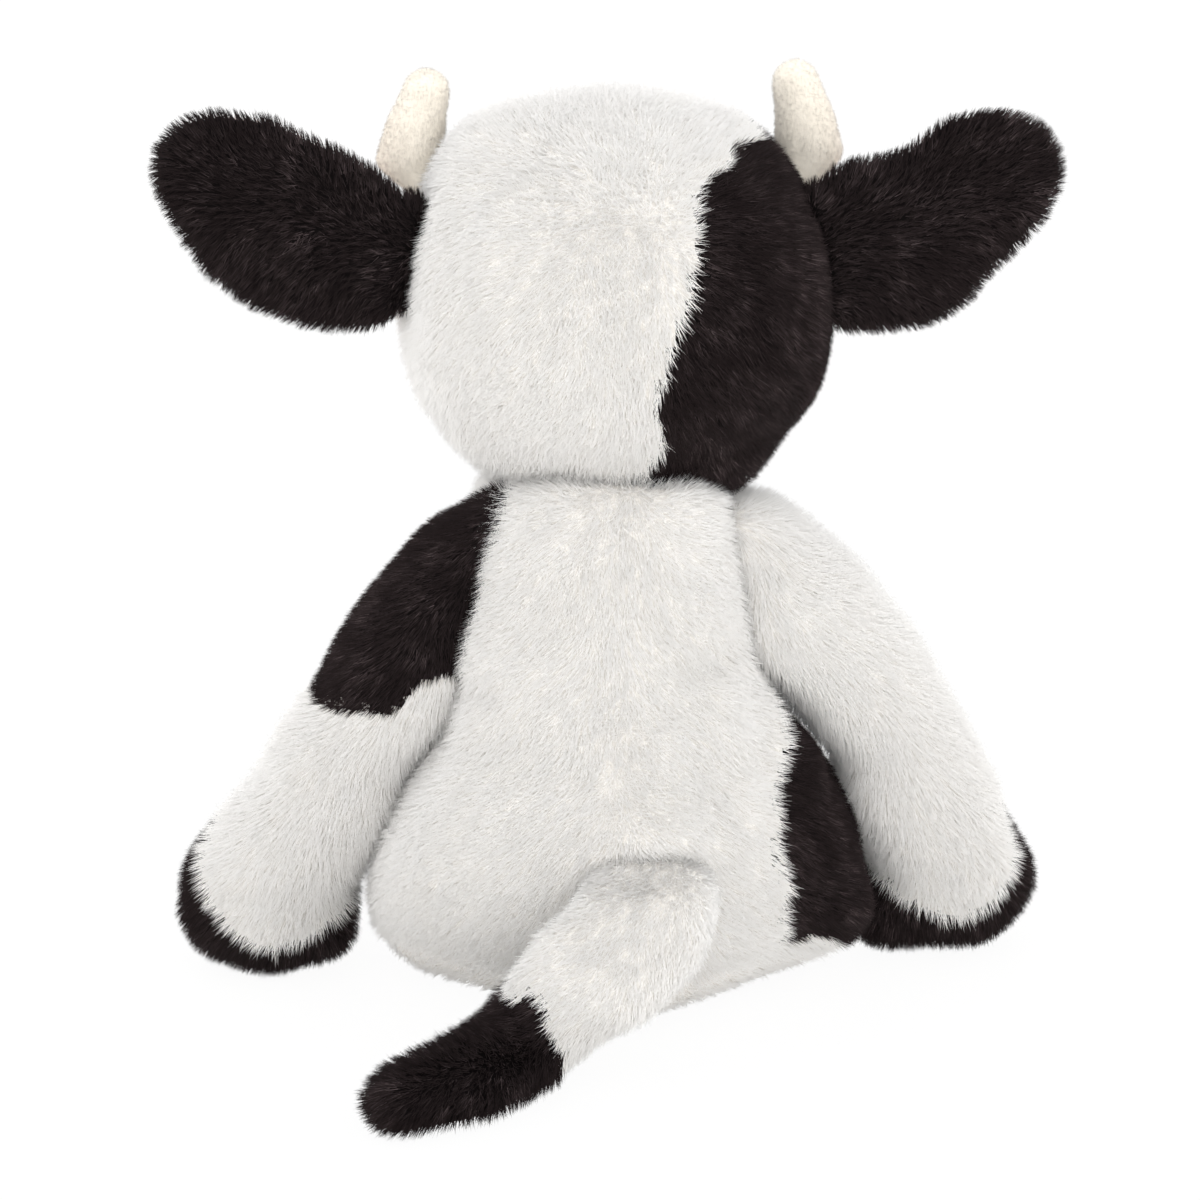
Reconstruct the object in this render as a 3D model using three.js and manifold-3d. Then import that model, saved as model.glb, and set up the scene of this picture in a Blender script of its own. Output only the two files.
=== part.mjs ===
// Plush cow, sitting, built as it is sewn: covers cut from plush in separate panels,
// stuffing inside them, and a head, ears, arms, legs and tail that move on their seams.
// Millimetres, +Z up. The cow faces -Y, its left side is +X, and it sits on z = 0.
// The origin is the middle of the flat seat.

import * as THREE from 'three';
import { mergeVertices } from 'three/addons/utils/BufferGeometryUtils.js';
import Module from 'manifold-3d';

const wasm = await Module();
wasm.setup();

// Cloth, gaps and mesh fineness

const clothThickness = 2;
const seamGap = 0.3;
const turningGap = 0.9;
const floorTrim = 0.5;
const cutReach = 700;
const bodySides = 14;
const limbSides = 10;
const hornSides = 8;
const domeRings = 2;
const ballSides = 24;
const ballRows = 12;
const jointSides = 14;
const jointRows = 6;
const muzzleSides = 16;
const muzzleRows = 8;
const stitchSteps = 8;
const stitchSides = 3;
const curveSteps = 2;

// Torso

const torsoHeight = 181;
const torsoHalfWidth = 78;
const torsoBack = 58;
const torsoFront = 54;
const torsoShift = 8;
const torsoSway = 5;
const baseSeamHeight = 18;
const pelletBagHalfWidth = 40;
const pelletBagHalfDepth = 26;
const pelletBagHeight = 15;
const pelletBagBack = 4;

// Head and neck

const neckHeight = 194;
const neckForward = 10;
const neckRadius = 47.4;
const neckOpeningRadius = 25;
const neckPlugRadius = 23;
const neckPlugDepth = 64;
const headCentreHeight = 226;
const headHalfWidth = 66;
const headHalfDepth = 66;
const headHalfHeight = 58;
const headTilt = 9;
const headLean = 2.5;
const headFullness = 2.1;

// Muzzle, eyes and mouth

const muzzleHalfWidth = 37;
const muzzleHalfDepth = 25;
const muzzleHalfHeight = 24;
const muzzleForward = 77;
const muzzleCentreHeight = 206;
const nostrilSpacing = 26;
const nostrilWidth = 7;
const nostrilHeight = 4.6;
const nostrilRise = 8;
const stitchRadius = 0.9;
const mouthDrop = 6;
const mouthHalfWidth = 13;
const mouthCurl = 5;
const eyeRadius = 6.2;
const eyeBulge = 4.4;
const eyeSpacing = 54;
const eyeHeight = 233;
const eyeShankRadius = 1.8;
const eyeShankLength = 9;
const eyeWasherRadius = 6;
const eyeWasherThickness = 1.2;
const eyeRings = 4;

// Horns

const hornRadius = 11.6;
const hornBaseHeight = 236;
const hornLength = 53;
const hornBaseSide = 51;
const hornBulgeSide = 61;
const hornTipSide = 56.5;
const hornForward = 26;
const hornTipRadius = 7.4;
const feltThickness = 1.2;

// Ears

const leftEarLength = 81;
const rightEarLength = 76;
const earHalfWidth = 28;
const earHalfThickness = 4.4;
const earRootRadius = 4.6;
const earRootHalfLength = 16;
const leftEarRootHeight = 237;
const rightEarRootHeight = 233.5;
const earRootBack = 0.5;
const earRootLean = 13;
const leftEarRise = 25;
const rightEarRise = 24;
const earSweep = 3;

// Arms

const shoulderSide = 40.5;
const shoulderHeight = 135;
const shoulderBack = 1;
const shoulderLean = 10;
const shoulderFlatRadius = 52;
const armRadius = 23.5;
const leftArmStartSide = 47;
const rightArmStartSide = 42.5;
const leftArmBulgeSide = 71;
const rightArmBulgeSide = 73.5;
const armBulgeHeight = 103;
const armBulgeForward = 3;
const armLowSide = 96;
const armLowHeight = 64;
const armLowForward = 11;
const armHoofRadius = 24.5;
const armHoofSide = 111;
const leftHoofForward = 26;
const rightHoofForward = 19;
const armHoofSeamHeight = 39;
const armHoofSeamFall = 1.1;
const armHoofSeamLean = 0.32;
const armPatchDrop = 32;
const armPatchFall = 0.06;

// Legs

const hipSide = 37;
const hipForward = 36;
const hipRadius = 28;
const hipOpeningRadius = 15;
const thighRadius = 23;
const kneeSide = 43;
const kneeForward = 90;
const kneeHeight = 27;
const footSide = 53;
const footForward = 124;
const footRadius = 26;
const legHoofSeamForward = 116;
const legDrop = 75;

// Tail

const tailRootSide = -2;
const tailRootHeight = 46;
const tailRootRadius = 19;
const tailExitDrop = 3;
const tailOpeningRadius = 10;
const tailRadius = 17.5;
const tailTipRadius = 9.5;
const tailExitBack = 66;
const tailBendSide = 11;
const tailBendBack = 78;
const tailBendHeight = 32;
const tailSeamSide = 36;
const tailSeamBack = 77;
const tailTuftSide = 56;
const tailTuftBack = 91;
const tailTipSide = 76;
const tailTipBack = 107;

// Black patches

const hipPatchTop = 104;
const hipPatchBottom = 22;
const hipPatchBack = 38;
const hipPatchFront = -38;
const headPatchTop = 274;
const headPatchBottom = 172;
const headPatchTopSide = 31;
const headPatchBottomSide = 0.5;
const headPatchFront = -50;

// Tables of shares, chosen by hand

// Each torso row: height, half width, back, front, shift towards the front,
// the fullness of the back and front curves, and the sway towards the left.
const torsoShares = [
  [0.003, 0.66, 0.66, 0.56, 1.0, 1.1, 1.7, 0],
  [0.022, 0.85, 0.86, 0.74, 1.0, 1.1, 1.8, 0],
  [0.055, 0.93, 0.95, 0.86, 0.88, 1.2, 2.0, 0],
  [0.11, 0.985, 0.99, 0.94, 0.63, 1.4, 2.1, 0],
  [0.18, 1.0, 1.0, 0.98, 0.38, 1.7, 2.2, 0],
  [0.28, 0.96, 0.96, 1.0, 0.13, 2.0, 2.2, 0],
  [0.38, 0.845, 0.905, 0.955, -0.04, 2.2, 2.3, 0.1],
  [0.48, 0.69, 0.84, 0.9, -0.12, 2.3, 2.4, 0.4],
  [0.58, 0.61, 0.785, 0.845, -0.12, 2.4, 2.5, 1],
  [0.7, 0.565, 0.735, 0.79, -0.08, 2.6, 2.6, 1],
  [0.82, 0.53, 0.705, 0.745, 0.0, 2.6, 2.6, 1],
  [0.91, 0.475, 0.66, 0.64, 0.0, 2.5, 2.5, 0.9],
  [0.968, 0.36, 0.6, 0.46, 0.0, 2.3, 2.3, 0.6],
];
// Each head row: height from the centre, half width, back, front.
const headShares = [
  [-0.97, 0.4, 0.34, 0.4],
  [-0.88, 0.635, 0.56, 0.62],
  [-0.75, 0.785, 0.75, 0.78],
  [-0.57, 0.905, 0.875, 0.89],
  [-0.33, 0.975, 0.96, 0.965],
  [-0.05, 1.0, 1.0, 1.0],
  [0.22, 0.97, 0.98, 0.965],
  [0.46, 0.88, 0.89, 0.87],
  [0.67, 0.74, 0.74, 0.73],
  [0.83, 0.57, 0.56, 0.56],
  [0.94, 0.35, 0.34, 0.34],
];
// Each limb row: how far along, and the radius.
const armShares = [[0, 0.91], [0.16, 0.94], [0.36, 0.86], [0.56, 0.82], [0.75, 0.88], [0.89, 1]];
const legShares = [[0, 0.93], [0.22, 1], [0.5, 0.95], [0.72, 1.0], [0.88, 1.1]];
const tailSeamShare = 0.75;
const tailTuftShare = 0.67;
const tailShares = [
  [0, 0.97], [0.14, 1], [0.32, 0.93], [0.5, tailSeamShare], [0.64, 0.72], [0.82, tailTuftShare],
];
const hornShares = [[0, 1], [0.3, 1], [0.55, 0.93], [0.78, 0.8], [0.92, 0.66]];
// Each ear row: how far along, half width, half thickness, and how far its middle hangs down.
const earShares = [
  [0, 0.6, 0.92, 0.14], [0.1, 0.72, 1, 0.2], [0.28, 0.88, 1, 0.25], [0.48, 0.97, 0.95, 0.2],
  [0.68, 0.9, 0.85, 0.1], [0.85, 0.64, 0.72, 0.02], [0.95, 0.38, 0.5, 0],
];
// The mouth's points: how far to the side.
const mouthShares = [-1, -0.5, 0, 0.5, 1];
// The inner edge of the head patch: how high, and how far towards the right.
const headPatchEdgeShares = [
  [0, 0], [0.23, 0.2], [0.44, 0.42], [0.63, 0.56], [0.84, 0.58], [0.93, 0.7], [1, 1],
];
// The outline of the hip patch: how far back, and how high.
const hipPatchShares = [
  [0, 0.3], [0.06, 0.85], [0.4, 1], [0.76, 0.94], [0.98, 0.6], [0.99, 0.25], [0.85, 0.02], [0.15, 0],
];

const up = new THREE.Vector3(0, 0, 1);
const v3 = (x, y, z) => new THREE.Vector3(x, y, z);

/** A geometry with its places only, each place kept once. */
function bare(geometry) {
  const plain = geometry.clone();
  for (const name of Object.keys(plain.attributes)) {
    if (name !== 'position') plain.deleteAttribute(name);
  }
  return mergeVertices(plain);
}

/** A closed geometry as a solid that can be cut and joined. */
function solid(geometry) {
  const merged = bare(geometry);
  return new wasm.Manifold(new wasm.Mesh({
    numProp: 3,
    vertProperties: new Float32Array(merged.attributes.position.array),
    triVerts: new Uint32Array(merged.index.array),
  }));
}

/** A solid as a geometry again. */
function geometryOf(body) {
  const mesh = body.getMesh();
  const geometry = new THREE.BufferGeometry();
  geometry.setAttribute('position', new THREE.BufferAttribute(mesh.vertProperties, 3));
  geometry.setIndex(new THREE.BufferAttribute(mesh.triVerts, 1));
  geometry.computeVertexNormals();
  return geometry;
}

/** A skin over closed rings of points, with a point at each end. */
function skin(rings, start, end) {
  const sides = rings[0].length;
  const places = [start, ...rings.flat(), end];
  const faces = [];
  const at = (row, side) => 1 + row * sides + (side % sides);
  for (let side = 0; side < sides; side++) {
    faces.push(0, at(0, side + 1), at(0, side));
    for (let row = 0; row + 1 < rings.length; row++) {
      const [a, b] = [at(row, side), at(row, side + 1)];
      const [c, d] = [at(row + 1, side), at(row + 1, side + 1)];
      faces.push(a, b, d, a, d, c);
    }
    faces.push(places.length - 1, at(rings.length - 1, side), at(rings.length - 1, side + 1));
  }
  const geometry = new THREE.BufferGeometry();
  geometry.setAttribute('position', new THREE.Float32BufferAttribute(places.flatMap((p) => p.toArray()), 3));
  geometry.setIndex(faces);
  return geometry;
}

/** The same skin moved inwards along its own normals. */
function inset(geometry, depth) {
  const inner = bare(geometry);
  inner.computeVertexNormals();
  const places = inner.attributes.position;
  const normals = inner.attributes.normal;
  for (let i = 0; i < places.count; i++) {
    const normal = v3(0, 0, 0).fromBufferAttribute(normals, i);
    const place = v3(0, 0, 0).fromBufferAttribute(places, i).addScaledVector(normal, -depth);
    places.setXYZ(i, place.x, place.y, place.z);
  }
  return inner;
}

/** One point of a rounded outline: fuller towards a square as the fullness rises. */
function rounded(angle, right, near, far, fullness) {
  const [c, s] = [Math.cos(angle), Math.sin(angle)];
  const power = 2 / fullness;
  return [
    right * Math.sign(c) * Math.abs(c) ** power,
    (s > 0 ? near : far) * Math.sign(s) * Math.abs(s) ** power,
  ];
}

/** A level ring round a centre, with its own back and front depth. */
function levelRing(centre, half, back, front, fullBack, fullFront) {
  return Array.from({ length: bodySides }, (_, i) => {
    const angle = (2 * Math.PI * i) / bodySides;
    const fullness = Math.sin(angle) > 0 ? fullBack : fullFront;
    const [x, y] = rounded(angle, half, back, front, fullness);
    return v3(centre.x + x, centre.y + y, centre.z);
  });
}

/** A ring square to a direction. The wide axis lies along the given side. */
function crossRing(centre, along, wide, halfWide, halfThick, sides) {
  const across = wide.clone().addScaledVector(along, -wide.dot(along)).normalize();
  const other = along.clone().cross(across);
  return Array.from({ length: sides }, (_, i) => {
    const angle = (2 * Math.PI * i) / sides;
    return centre.clone()
      .addScaledVector(across, halfWide * Math.cos(angle))
      .addScaledVector(other, halfThick * Math.sin(angle));
  });
}

/** A swelling and tapering limb along a curve, with a round end of its own radius at each end. */
function limb(points, rows, radius, endRadius, wide, sides) {
  const curve = new THREE.CatmullRomCurve3(points);
  const rings = [];
  const domes = (share, size, sign) => {
    const along = curve.getTangentAt(share);
    const heel = curve.getPointAt(share);
    for (let i = 1; i <= domeRings; i++) {
      const angle = (Math.PI / 2) * (i / (domeRings + 1));
      const centre = heel.clone().addScaledVector(along, sign * size * Math.sin(angle));
      const ring = crossRing(centre, along, wide, size * Math.cos(angle), size * Math.cos(angle), sides);
      if (sign < 0) rings.unshift(ring);
      else rings.push(ring);
    }
    return heel.addScaledVector(along, sign * size);
  };
  for (const [share, girth] of rows) {
    const size = radius * girth;
    rings.push(crossRing(curve.getPointAt(share), curve.getTangentAt(share), wide, size, size, sides));
  }
  const start = domes(0, radius * rows[0][1], -1);
  rings.push(crossRing(curve.getPointAt(1), curve.getTangentAt(1), wide, endRadius, endRadius, sides));
  const end = domes(1, endRadius, 1);
  return skin(rings, start, end);
}

/** A ball whose rings run round the line that it turns about. */
function ball(centre, radius, turnsAbout, sides = jointSides, rows = jointRows) {
  const geometry = new THREE.SphereGeometry(radius, sides, rows);
  geometry.applyQuaternion(new THREE.Quaternion().setFromUnitVectors(v3(0, 1, 0), turnsAbout));
  return solid(geometry.translate(centre.x, centre.y, centre.z));
}

/** A rod from one point along a direction. */
function rod(from, along, radius, length, sides = jointSides) {
  const geometry = new THREE.CylinderGeometry(radius, radius, length, sides);
  geometry.rotateX(Math.PI / 2).translate(0, 0, length / 2);
  geometry.applyQuaternion(new THREE.Quaternion().setFromUnitVectors(up, along.clone().normalize()));
  return solid(geometry.translate(from.x, from.y, from.z));
}

/** Everything on the side of a plane that its normal points to. */
function beyond(point, normal) {
  const geometry = new THREE.BoxGeometry(cutReach, cutReach, cutReach).translate(0, 0, cutReach / 2);
  geometry.applyQuaternion(new THREE.Quaternion().setFromUnitVectors(up, normal.clone().normalize()));
  return solid(geometry.translate(point.x, point.y, point.z));
}

/** An outline drawn across X, as a prism between two sides. */
function prismAcross(outline, low, high) {
  const geometry = new THREE.ExtrudeGeometry(outline, {
    depth: high - low, bevelEnabled: false, curveSegments: curveSteps,
  });
  geometry.applyMatrix4(new THREE.Matrix4().makeBasis(v3(0, 1, 0), up, v3(1, 0, 0)));
  return solid(geometry.translate(low, 0, 0));
}

/** A panel cut out of a cloth shell, and the shell that is left, a seam apart. */
function cutPanel(shell, region, widerRegion) {
  return { panel: shell.intersect(region), rest: shell.subtract(widerRegion) };
}

const stuffingDepth = clothThickness + seamGap;
const mirrored = (side, x, y, z) => v3(side * x, y, z);
const degrees = THREE.MathUtils.degToRad;

// Forms: the closed outer shape of each stuffed part, before anything is cut from it

const neckCentre = v3(0, -neckForward, neckHeight);

function torsoSkin() {
  const rings = torsoShares.map(([rise, half, back, front, shift, fullBack, fullFront, sway]) => levelRing(
    v3(torsoSway * sway, -torsoShift * shift, torsoHeight * rise - floorTrim),
    torsoHalfWidth * half, torsoBack * back, torsoFront * front, fullBack, fullFront,
  ));
  return skin(rings, v3(0, 0, -floorTrim), v3(0, torsoShift, torsoHeight));
}

function headSkin() {
  const rings = headShares.map(([rise, half, back, front]) => levelRing(
    v3(headLean * Math.max(0, rise), 0, headHalfHeight * rise),
    headHalfWidth * half, headHalfDepth * back, headHalfDepth * front, headFullness, headFullness,
  ));
  const geometry = skin(rings, v3(0, 0, -headHalfHeight), v3(headLean, 0, headHalfHeight));
  return geometry.rotateX(degrees(headTilt)).translate(0, -neckForward, headCentreHeight);
}

function muzzleSkin() {
  const geometry = new THREE.SphereGeometry(1, muzzleSides, muzzleRows);
  geometry.scale(muzzleHalfWidth, muzzleHalfDepth, muzzleHalfHeight);
  return geometry.translate(0, -muzzleForward, muzzleCentreHeight);
}

const bulgeSide = (side) => (side > 0 ? leftArmBulgeSide : rightArmBulgeSide);
const hoofCentre = (side) => mirrored(
  side, armHoofSide, -(side > 0 ? leftHoofForward : rightHoofForward), armHoofRadius - floorTrim,
);

function armSkin(side) {
  return limb([
    mirrored(side, side > 0 ? leftArmStartSide : rightArmStartSide, shoulderBack, shoulderHeight),
    mirrored(side, bulgeSide(side), -armBulgeForward, armBulgeHeight),
    mirrored(side, armLowSide, -armLowForward, armLowHeight),
    hoofCentre(side),
  ], armShares, armRadius, armHoofRadius, v3(0, 1, 0), limbSides);
}

function legSkin(side) {
  return limb([
    mirrored(side, hipSide, -hipForward, hipRadius),
    mirrored(side, hipSide, -hipForward - hipRadius, hipRadius),
    mirrored(side, kneeSide, -kneeForward, kneeHeight),
    mirrored(side, footSide, -footForward, footRadius - floorTrim),
  ], legShares, thighRadius, footRadius, up, limbSides);
}

function hornSkin(side) {
  const hornTipHeight = hornBaseHeight + hornLength;
  return limb([
    mirrored(side, hornBaseSide, -hornForward, hornBaseHeight),
    mirrored(side, hornBulgeSide, -hornForward, (hornBaseHeight * 2 + hornTipHeight) / 3),
    mirrored(side, hornBulgeSide, -hornForward, (hornBaseHeight + hornTipHeight * 2) / 3 - hornTipRadius),
    mirrored(side, hornTipSide, -hornForward, hornTipHeight - hornTipRadius),
  ], hornShares, hornRadius, hornTipRadius, v3(0, 1, 0), hornSides);
}

/** Where a line from inside a skin comes out through it, and which way it faces there. */
function surfaceOf(geometry, from, along) {
  const mesh = new THREE.Mesh(geometry, new THREE.MeshBasicMaterial({ side: THREE.DoubleSide }));
  const [hit] = new THREE.Raycaster(from, along.clone().normalize()).intersectObject(mesh);
  return { point: hit.point, normal: hit.face.normal.clone() };
}

const outerTorso = torsoSkin();
const outerHead = headSkin();
const outerMuzzle = muzzleSkin();
const tailRoot = surfaceOf(outerTorso, v3(tailRootSide, 0, tailRootHeight), v3(0, 1, 0)).point;

function tailSkin() {
  const lying = (share) => tailRadius * share - floorTrim;
  return limb([
    tailRoot,
    v3(tailRootSide, tailExitBack, tailRootHeight - tailExitDrop),
    v3(tailBendSide, tailBendBack, tailBendHeight),
    v3(tailSeamSide, tailSeamBack, lying(tailSeamShare)),
    v3(tailTuftSide, tailTuftBack, lying(tailTuftShare)),
    v3(tailTipSide, tailTipBack, tailTipRadius - floorTrim),
  ], tailShares, tailRadius, tailTipRadius, up, limbSides);
}

const aboveFloor = (depth) => beyond(v3(0, 0, depth), up);

/** The shoulder's flat face on one side: a point on it and the way it faces. */
function shoulder(side) {
  const lean = degrees(shoulderLean);
  return {
    point: v3(torsoSway + side * shoulderSide, shoulderBack, shoulderHeight),
    normal: v3(side * Math.cos(lean), 0, Math.sin(lean)),
  };
}

function torsoForm(depth) {
  let form = solid(inset(outerTorso, depth)).intersect(aboveFloor(depth));
  for (const side of [1, -1]) {
    const { point, normal } = shoulder(side);
    const from = point.clone().addScaledVector(normal, -depth);
    form = form.subtract(rod(from, normal, shoulderFlatRadius + depth, armRadius));
  }
  return form;
}

const neckBall = (radius) => ball(neckCentre, radius, up, ballSides, ballRows);
const headForm = (depth) => solid(inset(outerHead, depth)).add(neckBall(neckRadius - turningGap - depth));
const muzzleForm = (depth) => solid(inset(outerMuzzle, depth));
const hornForm = (side, depth) => solid(inset(hornSkin(side), depth));

const armForm = (side, depth) => solid(inset(armSkin(side), depth)).intersect(aboveFloor(depth));

/** Everything outside the plane in which an arm meets the shoulder. */
function armRoot(side, gap) {
  const { point, normal } = shoulder(side);
  return beyond(point.addScaledVector(normal, gap), normal);
}

const hip = (side) => mirrored(side, hipSide, -hipForward, hipRadius + seamGap);

function legForm(side, depth) {
  const ballJoint = ball(hip(side), hipRadius - depth, v3(1, 0, 0));
  return solid(inset(legSkin(side), depth)).add(ballJoint).intersect(aboveFloor(depth));
}

function tailForm(depth) {
  const ballJoint = ball(tailRoot, tailRootRadius - depth, up);
  return solid(inset(tailSkin(), depth)).add(ballJoint).intersect(aboveFloor(depth));
}

/** The room in the torso for a leg that swings down from rest. */
function legRoom(side) {
  const centre = hip(side);
  const reach = thighRadius + turningGap;
  const drop = degrees(legDrop);
  const heel = reach / Math.sin(drop);
  const fall = cutReach * Math.tan(Math.PI / 2 - drop);
  const wedge = new THREE.Shape([
    new THREE.Vector2(centre.y - cutReach, centre.z),
    new THREE.Vector2(centre.y - cutReach, centre.z - cutReach),
    new THREE.Vector2(centre.y + heel - fall, centre.z - cutReach),
    new THREE.Vector2(centre.y + heel, centre.z),
  ]);
  return ball(centre, hipRadius + turningGap, v3(1, 0, 0))
    .add(rod(centre, v3(0, -1, 0), reach, cutReach))
    .add(prismAcross(wedge, centre.x - reach, centre.x + reach));
}

/** Where an ear hangs: its root on the head, its root line, its length and the way it points. */
function earFrame(side) {
  const from = v3(0, earRootBack, side > 0 ? leftEarRootHeight : rightEarRootHeight);
  const root = surfaceOf(outerHead, from, v3(side, 0, 0)).point;
  const lean = degrees(earRootLean);
  const rise = degrees(side > 0 ? leftEarRise : rightEarRise);
  const length = side > 0 ? leftEarLength : rightEarLength;
  const outwards = v3(side * Math.cos(rise), -earSweep / length, Math.sin(rise)).normalize();
  return { root, length, line: v3(-side * Math.sin(lean), 0, Math.cos(lean)), outwards };
}

function earForm(side) {
  const { root, length, line, outwards } = earFrame(side);
  const rings = earShares.map(([share, wide, thick, hang]) => crossRing(
    root.clone().addScaledVector(outwards, length * share).addScaledVector(line, -earHalfWidth * hang),
    outwards, line, earHalfWidth * wide, earHalfThickness * thick, limbSides,
  ));
  const plate = skin(rings, root, root.clone().addScaledVector(outwards, length));
  const foot = root.clone().addScaledVector(line, -earRootHalfLength);
  return solid(plate).subtract(headForm(-turningGap))
    .add(rod(foot, line, earRootRadius, earRootHalfLength * 2));
}

function earGroove(side) {
  const { root, line } = earFrame(side);
  const half = earRootHalfLength + turningGap;
  const foot = root.clone().addScaledVector(line, -half);
  return rod(foot, line, earRootRadius + turningGap, half * 2);
}

// Seams between panels: what lies on one side of each

/** A smooth closed outline in a box, from points given as shares of it. */
function outlineIn(low, high, shares) {
  const points = shares.map(([x, y]) => new THREE.Vector2(
    low.x + (high.x - low.x) * x, low.y + (high.y - low.y) * y,
  ));
  const shape = new THREE.Shape();
  shape.moveTo(points[0].x, points[0].y);
  shape.splineThru([...points.slice(1), points[0]]);
  return shape;
}

function hipPatchRegion(grow) {
  const low = new THREE.Vector2(hipPatchFront - grow, hipPatchBottom - grow);
  const high = new THREE.Vector2(hipPatchBack + grow, hipPatchTop + grow);
  return prismAcross(outlineIn(low, high, hipPatchShares), -cutReach, 0);
}

function headPatchRegion(grow) {
  const edge = headPatchEdgeShares.map(([rise, side]) => new THREE.Vector2(
    -(headPatchBottomSide + (headPatchTopSide - headPatchBottomSide) * side) + grow,
    headPatchBottom + (headPatchTop - headPatchBottom) * rise + grow * rise,
  ));
  const shape = new THREE.Shape();
  shape.moveTo(-cutReach, 0);
  shape.lineTo(edge[0].x, 0);
  shape.lineTo(edge[0].x, edge[0].y);
  shape.splineThru(edge.slice(1));
  shape.lineTo(-cutReach, edge.at(-1).y);
  const deep = { depth: cutReach, bevelEnabled: false, curveSegments: curveSteps };
  const geometry = new THREE.ExtrudeGeometry(shape, deep).rotateX(Math.PI / 2);
  return solid(geometry.translate(0, cutReach + headPatchFront - grow, 0));
}

function armPatchSeam(side, grow) {
  return beyond(v3(0, 0, shoulderHeight - armPatchDrop - grow), v3(side * armPatchFall, 0, 1));
}

function armHoofSeam(side, grow) {
  const point = hoofCentre(side).setZ(armHoofSeamHeight + grow);
  return beyond(point, v3(side * armHoofSeamLean, -armHoofSeamFall, -1));
}

const legHoofSeam = (grow) => beyond(v3(0, -legHoofSeamForward + grow, 0), v3(0, -1, 0));

function tailSeam(grow) {
  const along = v3(tailTuftSide - tailBendSide, tailTuftBack - tailBendBack, 0).normalize();
  const point = v3(tailSeamSide, tailSeamBack, 0).addScaledVector(along, -grow);
  return beyond(point, along);
}

// Meshes

const plush = (color) => ({ color, roughness: 0.95, metalness: 0 });
const finishes = {
  whitePlush: plush(0xf1eee9),
  blackPlush: plush(0x1b1718),
  muzzlePlush: plush(0xd9b9ae),
  earLining: plush(0x3a3234),
  felt: plush(0xebe3d6),
  stuffing: plush(0xf7f7f5),
  pellets: plush(0xd8d5cc),
  thread: { color: 0x3b2a2a, roughness: 0.7, metalness: 0 },
  gloss: { color: 0x0a0809, roughness: 0.12, metalness: 0 },
  nylon: { color: 0xf0f0ec, roughness: 0.5, metalness: 0 },
};
const group = new THREE.Group();

function place(name, body, finish) {
  const mesh = new THREE.Mesh(geometryOf(body), new THREE.MeshStandardMaterial(finishes[finish]));
  mesh.name = name;
  group.add(mesh);
}

const shellOf = (form, cloth) => form(0).subtract(form(cloth));

function placeTorso() {
  let openings = neckBall(neckRadius).add(ball(tailRoot, tailRootRadius + turningGap, up));
  for (const side of [1, -1]) openings = openings.add(legRoom(side));
  const shell = shellOf(torsoForm, clothThickness).subtract(openings);
  const baseSeam = (grow) => beyond(v3(0, 0, baseSeamHeight + grow), v3(0, 0, -1));
  const base = cutPanel(shell, baseSeam(0), baseSeam(seamGap));
  const hipPatch = cutPanel(base.rest, hipPatchRegion(0), hipPatchRegion(seamGap));
  place('torso_cover', hipPatch.rest, 'whitePlush');
  place('torso_hip_patch', hipPatch.panel, 'blackPlush');
  place('torso_base_panel', base.panel, 'whitePlush');

  const plugFoot = v3(0, -neckForward, neckHeight - neckPlugDepth);
  const plug = (grow) => rod(
    plugFoot.clone().addScaledVector(up, -grow), up, neckPlugRadius + grow, neckPlugDepth,
  );
  const bagShape = new THREE.SphereGeometry(1, jointSides, jointRows).rotateX(Math.PI / 2);
  const bag = (grow) => solid(bagShape.clone()
    .scale(pelletBagHalfWidth + grow, pelletBagHalfDepth + grow, pelletBagHeight + grow)
    .translate(0, pelletBagBack, stuffingDepth + pelletBagHeight / 3));
  const stuffing = torsoForm(stuffingDepth).subtract(openings);
  place('torso_fill', stuffing.subtract(plug(turningGap)).subtract(bag(seamGap)), 'stuffing');
  place('seat_pellet_bag', bag(0).intersect(stuffing), 'pellets');
  place('neck_fill', plug(0).subtract(neckBall(neckRadius)), 'stuffing');
}

/** The eye on one side: where its back lies on the face, and the way it looks. */
function eyeFrame(side) {
  return surfaceOf(outerHead, v3(side * eyeSpacing / 2, 0, eyeHeight), v3(0, -1, 0));
}

/** A turned piece whose profile runs out along a direction. */
function turned(profile, { point, normal }) {
  const points = profile.map(([radius, reach]) => new THREE.Vector2(radius, reach));
  const geometry = new THREE.LatheGeometry(points, limbSides);
  geometry.applyQuaternion(new THREE.Quaternion().setFromUnitVectors(v3(0, 1, 0), normal));
  return solid(geometry.translate(point.x, point.y, point.z));
}

function eye(frame) {
  const dome = Array.from({ length: eyeRings }, (_, i) => {
    const angle = (Math.PI / 2) * (i / eyeRings);
    return [eyeRadius * Math.cos(angle), eyeBulge * Math.sin(angle)];
  });
  const cap = turned([[0, -eyeBulge], [eyeRadius, -eyeBulge], ...dome, [0, eyeBulge]], frame);
  const shank = [[0, -eyeShankLength], [eyeShankRadius, -eyeShankLength], [eyeShankRadius, eyeBulge / 2]];
  return cap.subtract(headForm(-seamGap)).add(turned([...shank, [0, eyeBulge / 2]], frame));
}

function washer(frame) {
  const outer = -stuffingDepth - seamGap;
  const inner = outer - eyeWasherThickness;
  const bore = eyeShankRadius + seamGap;
  return turned([
    [bore, inner], [eyeWasherRadius, inner], [eyeWasherRadius, outer], [bore, outer], [bore, inner],
  ], frame).intersect(headForm(stuffingDepth));
}

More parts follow.
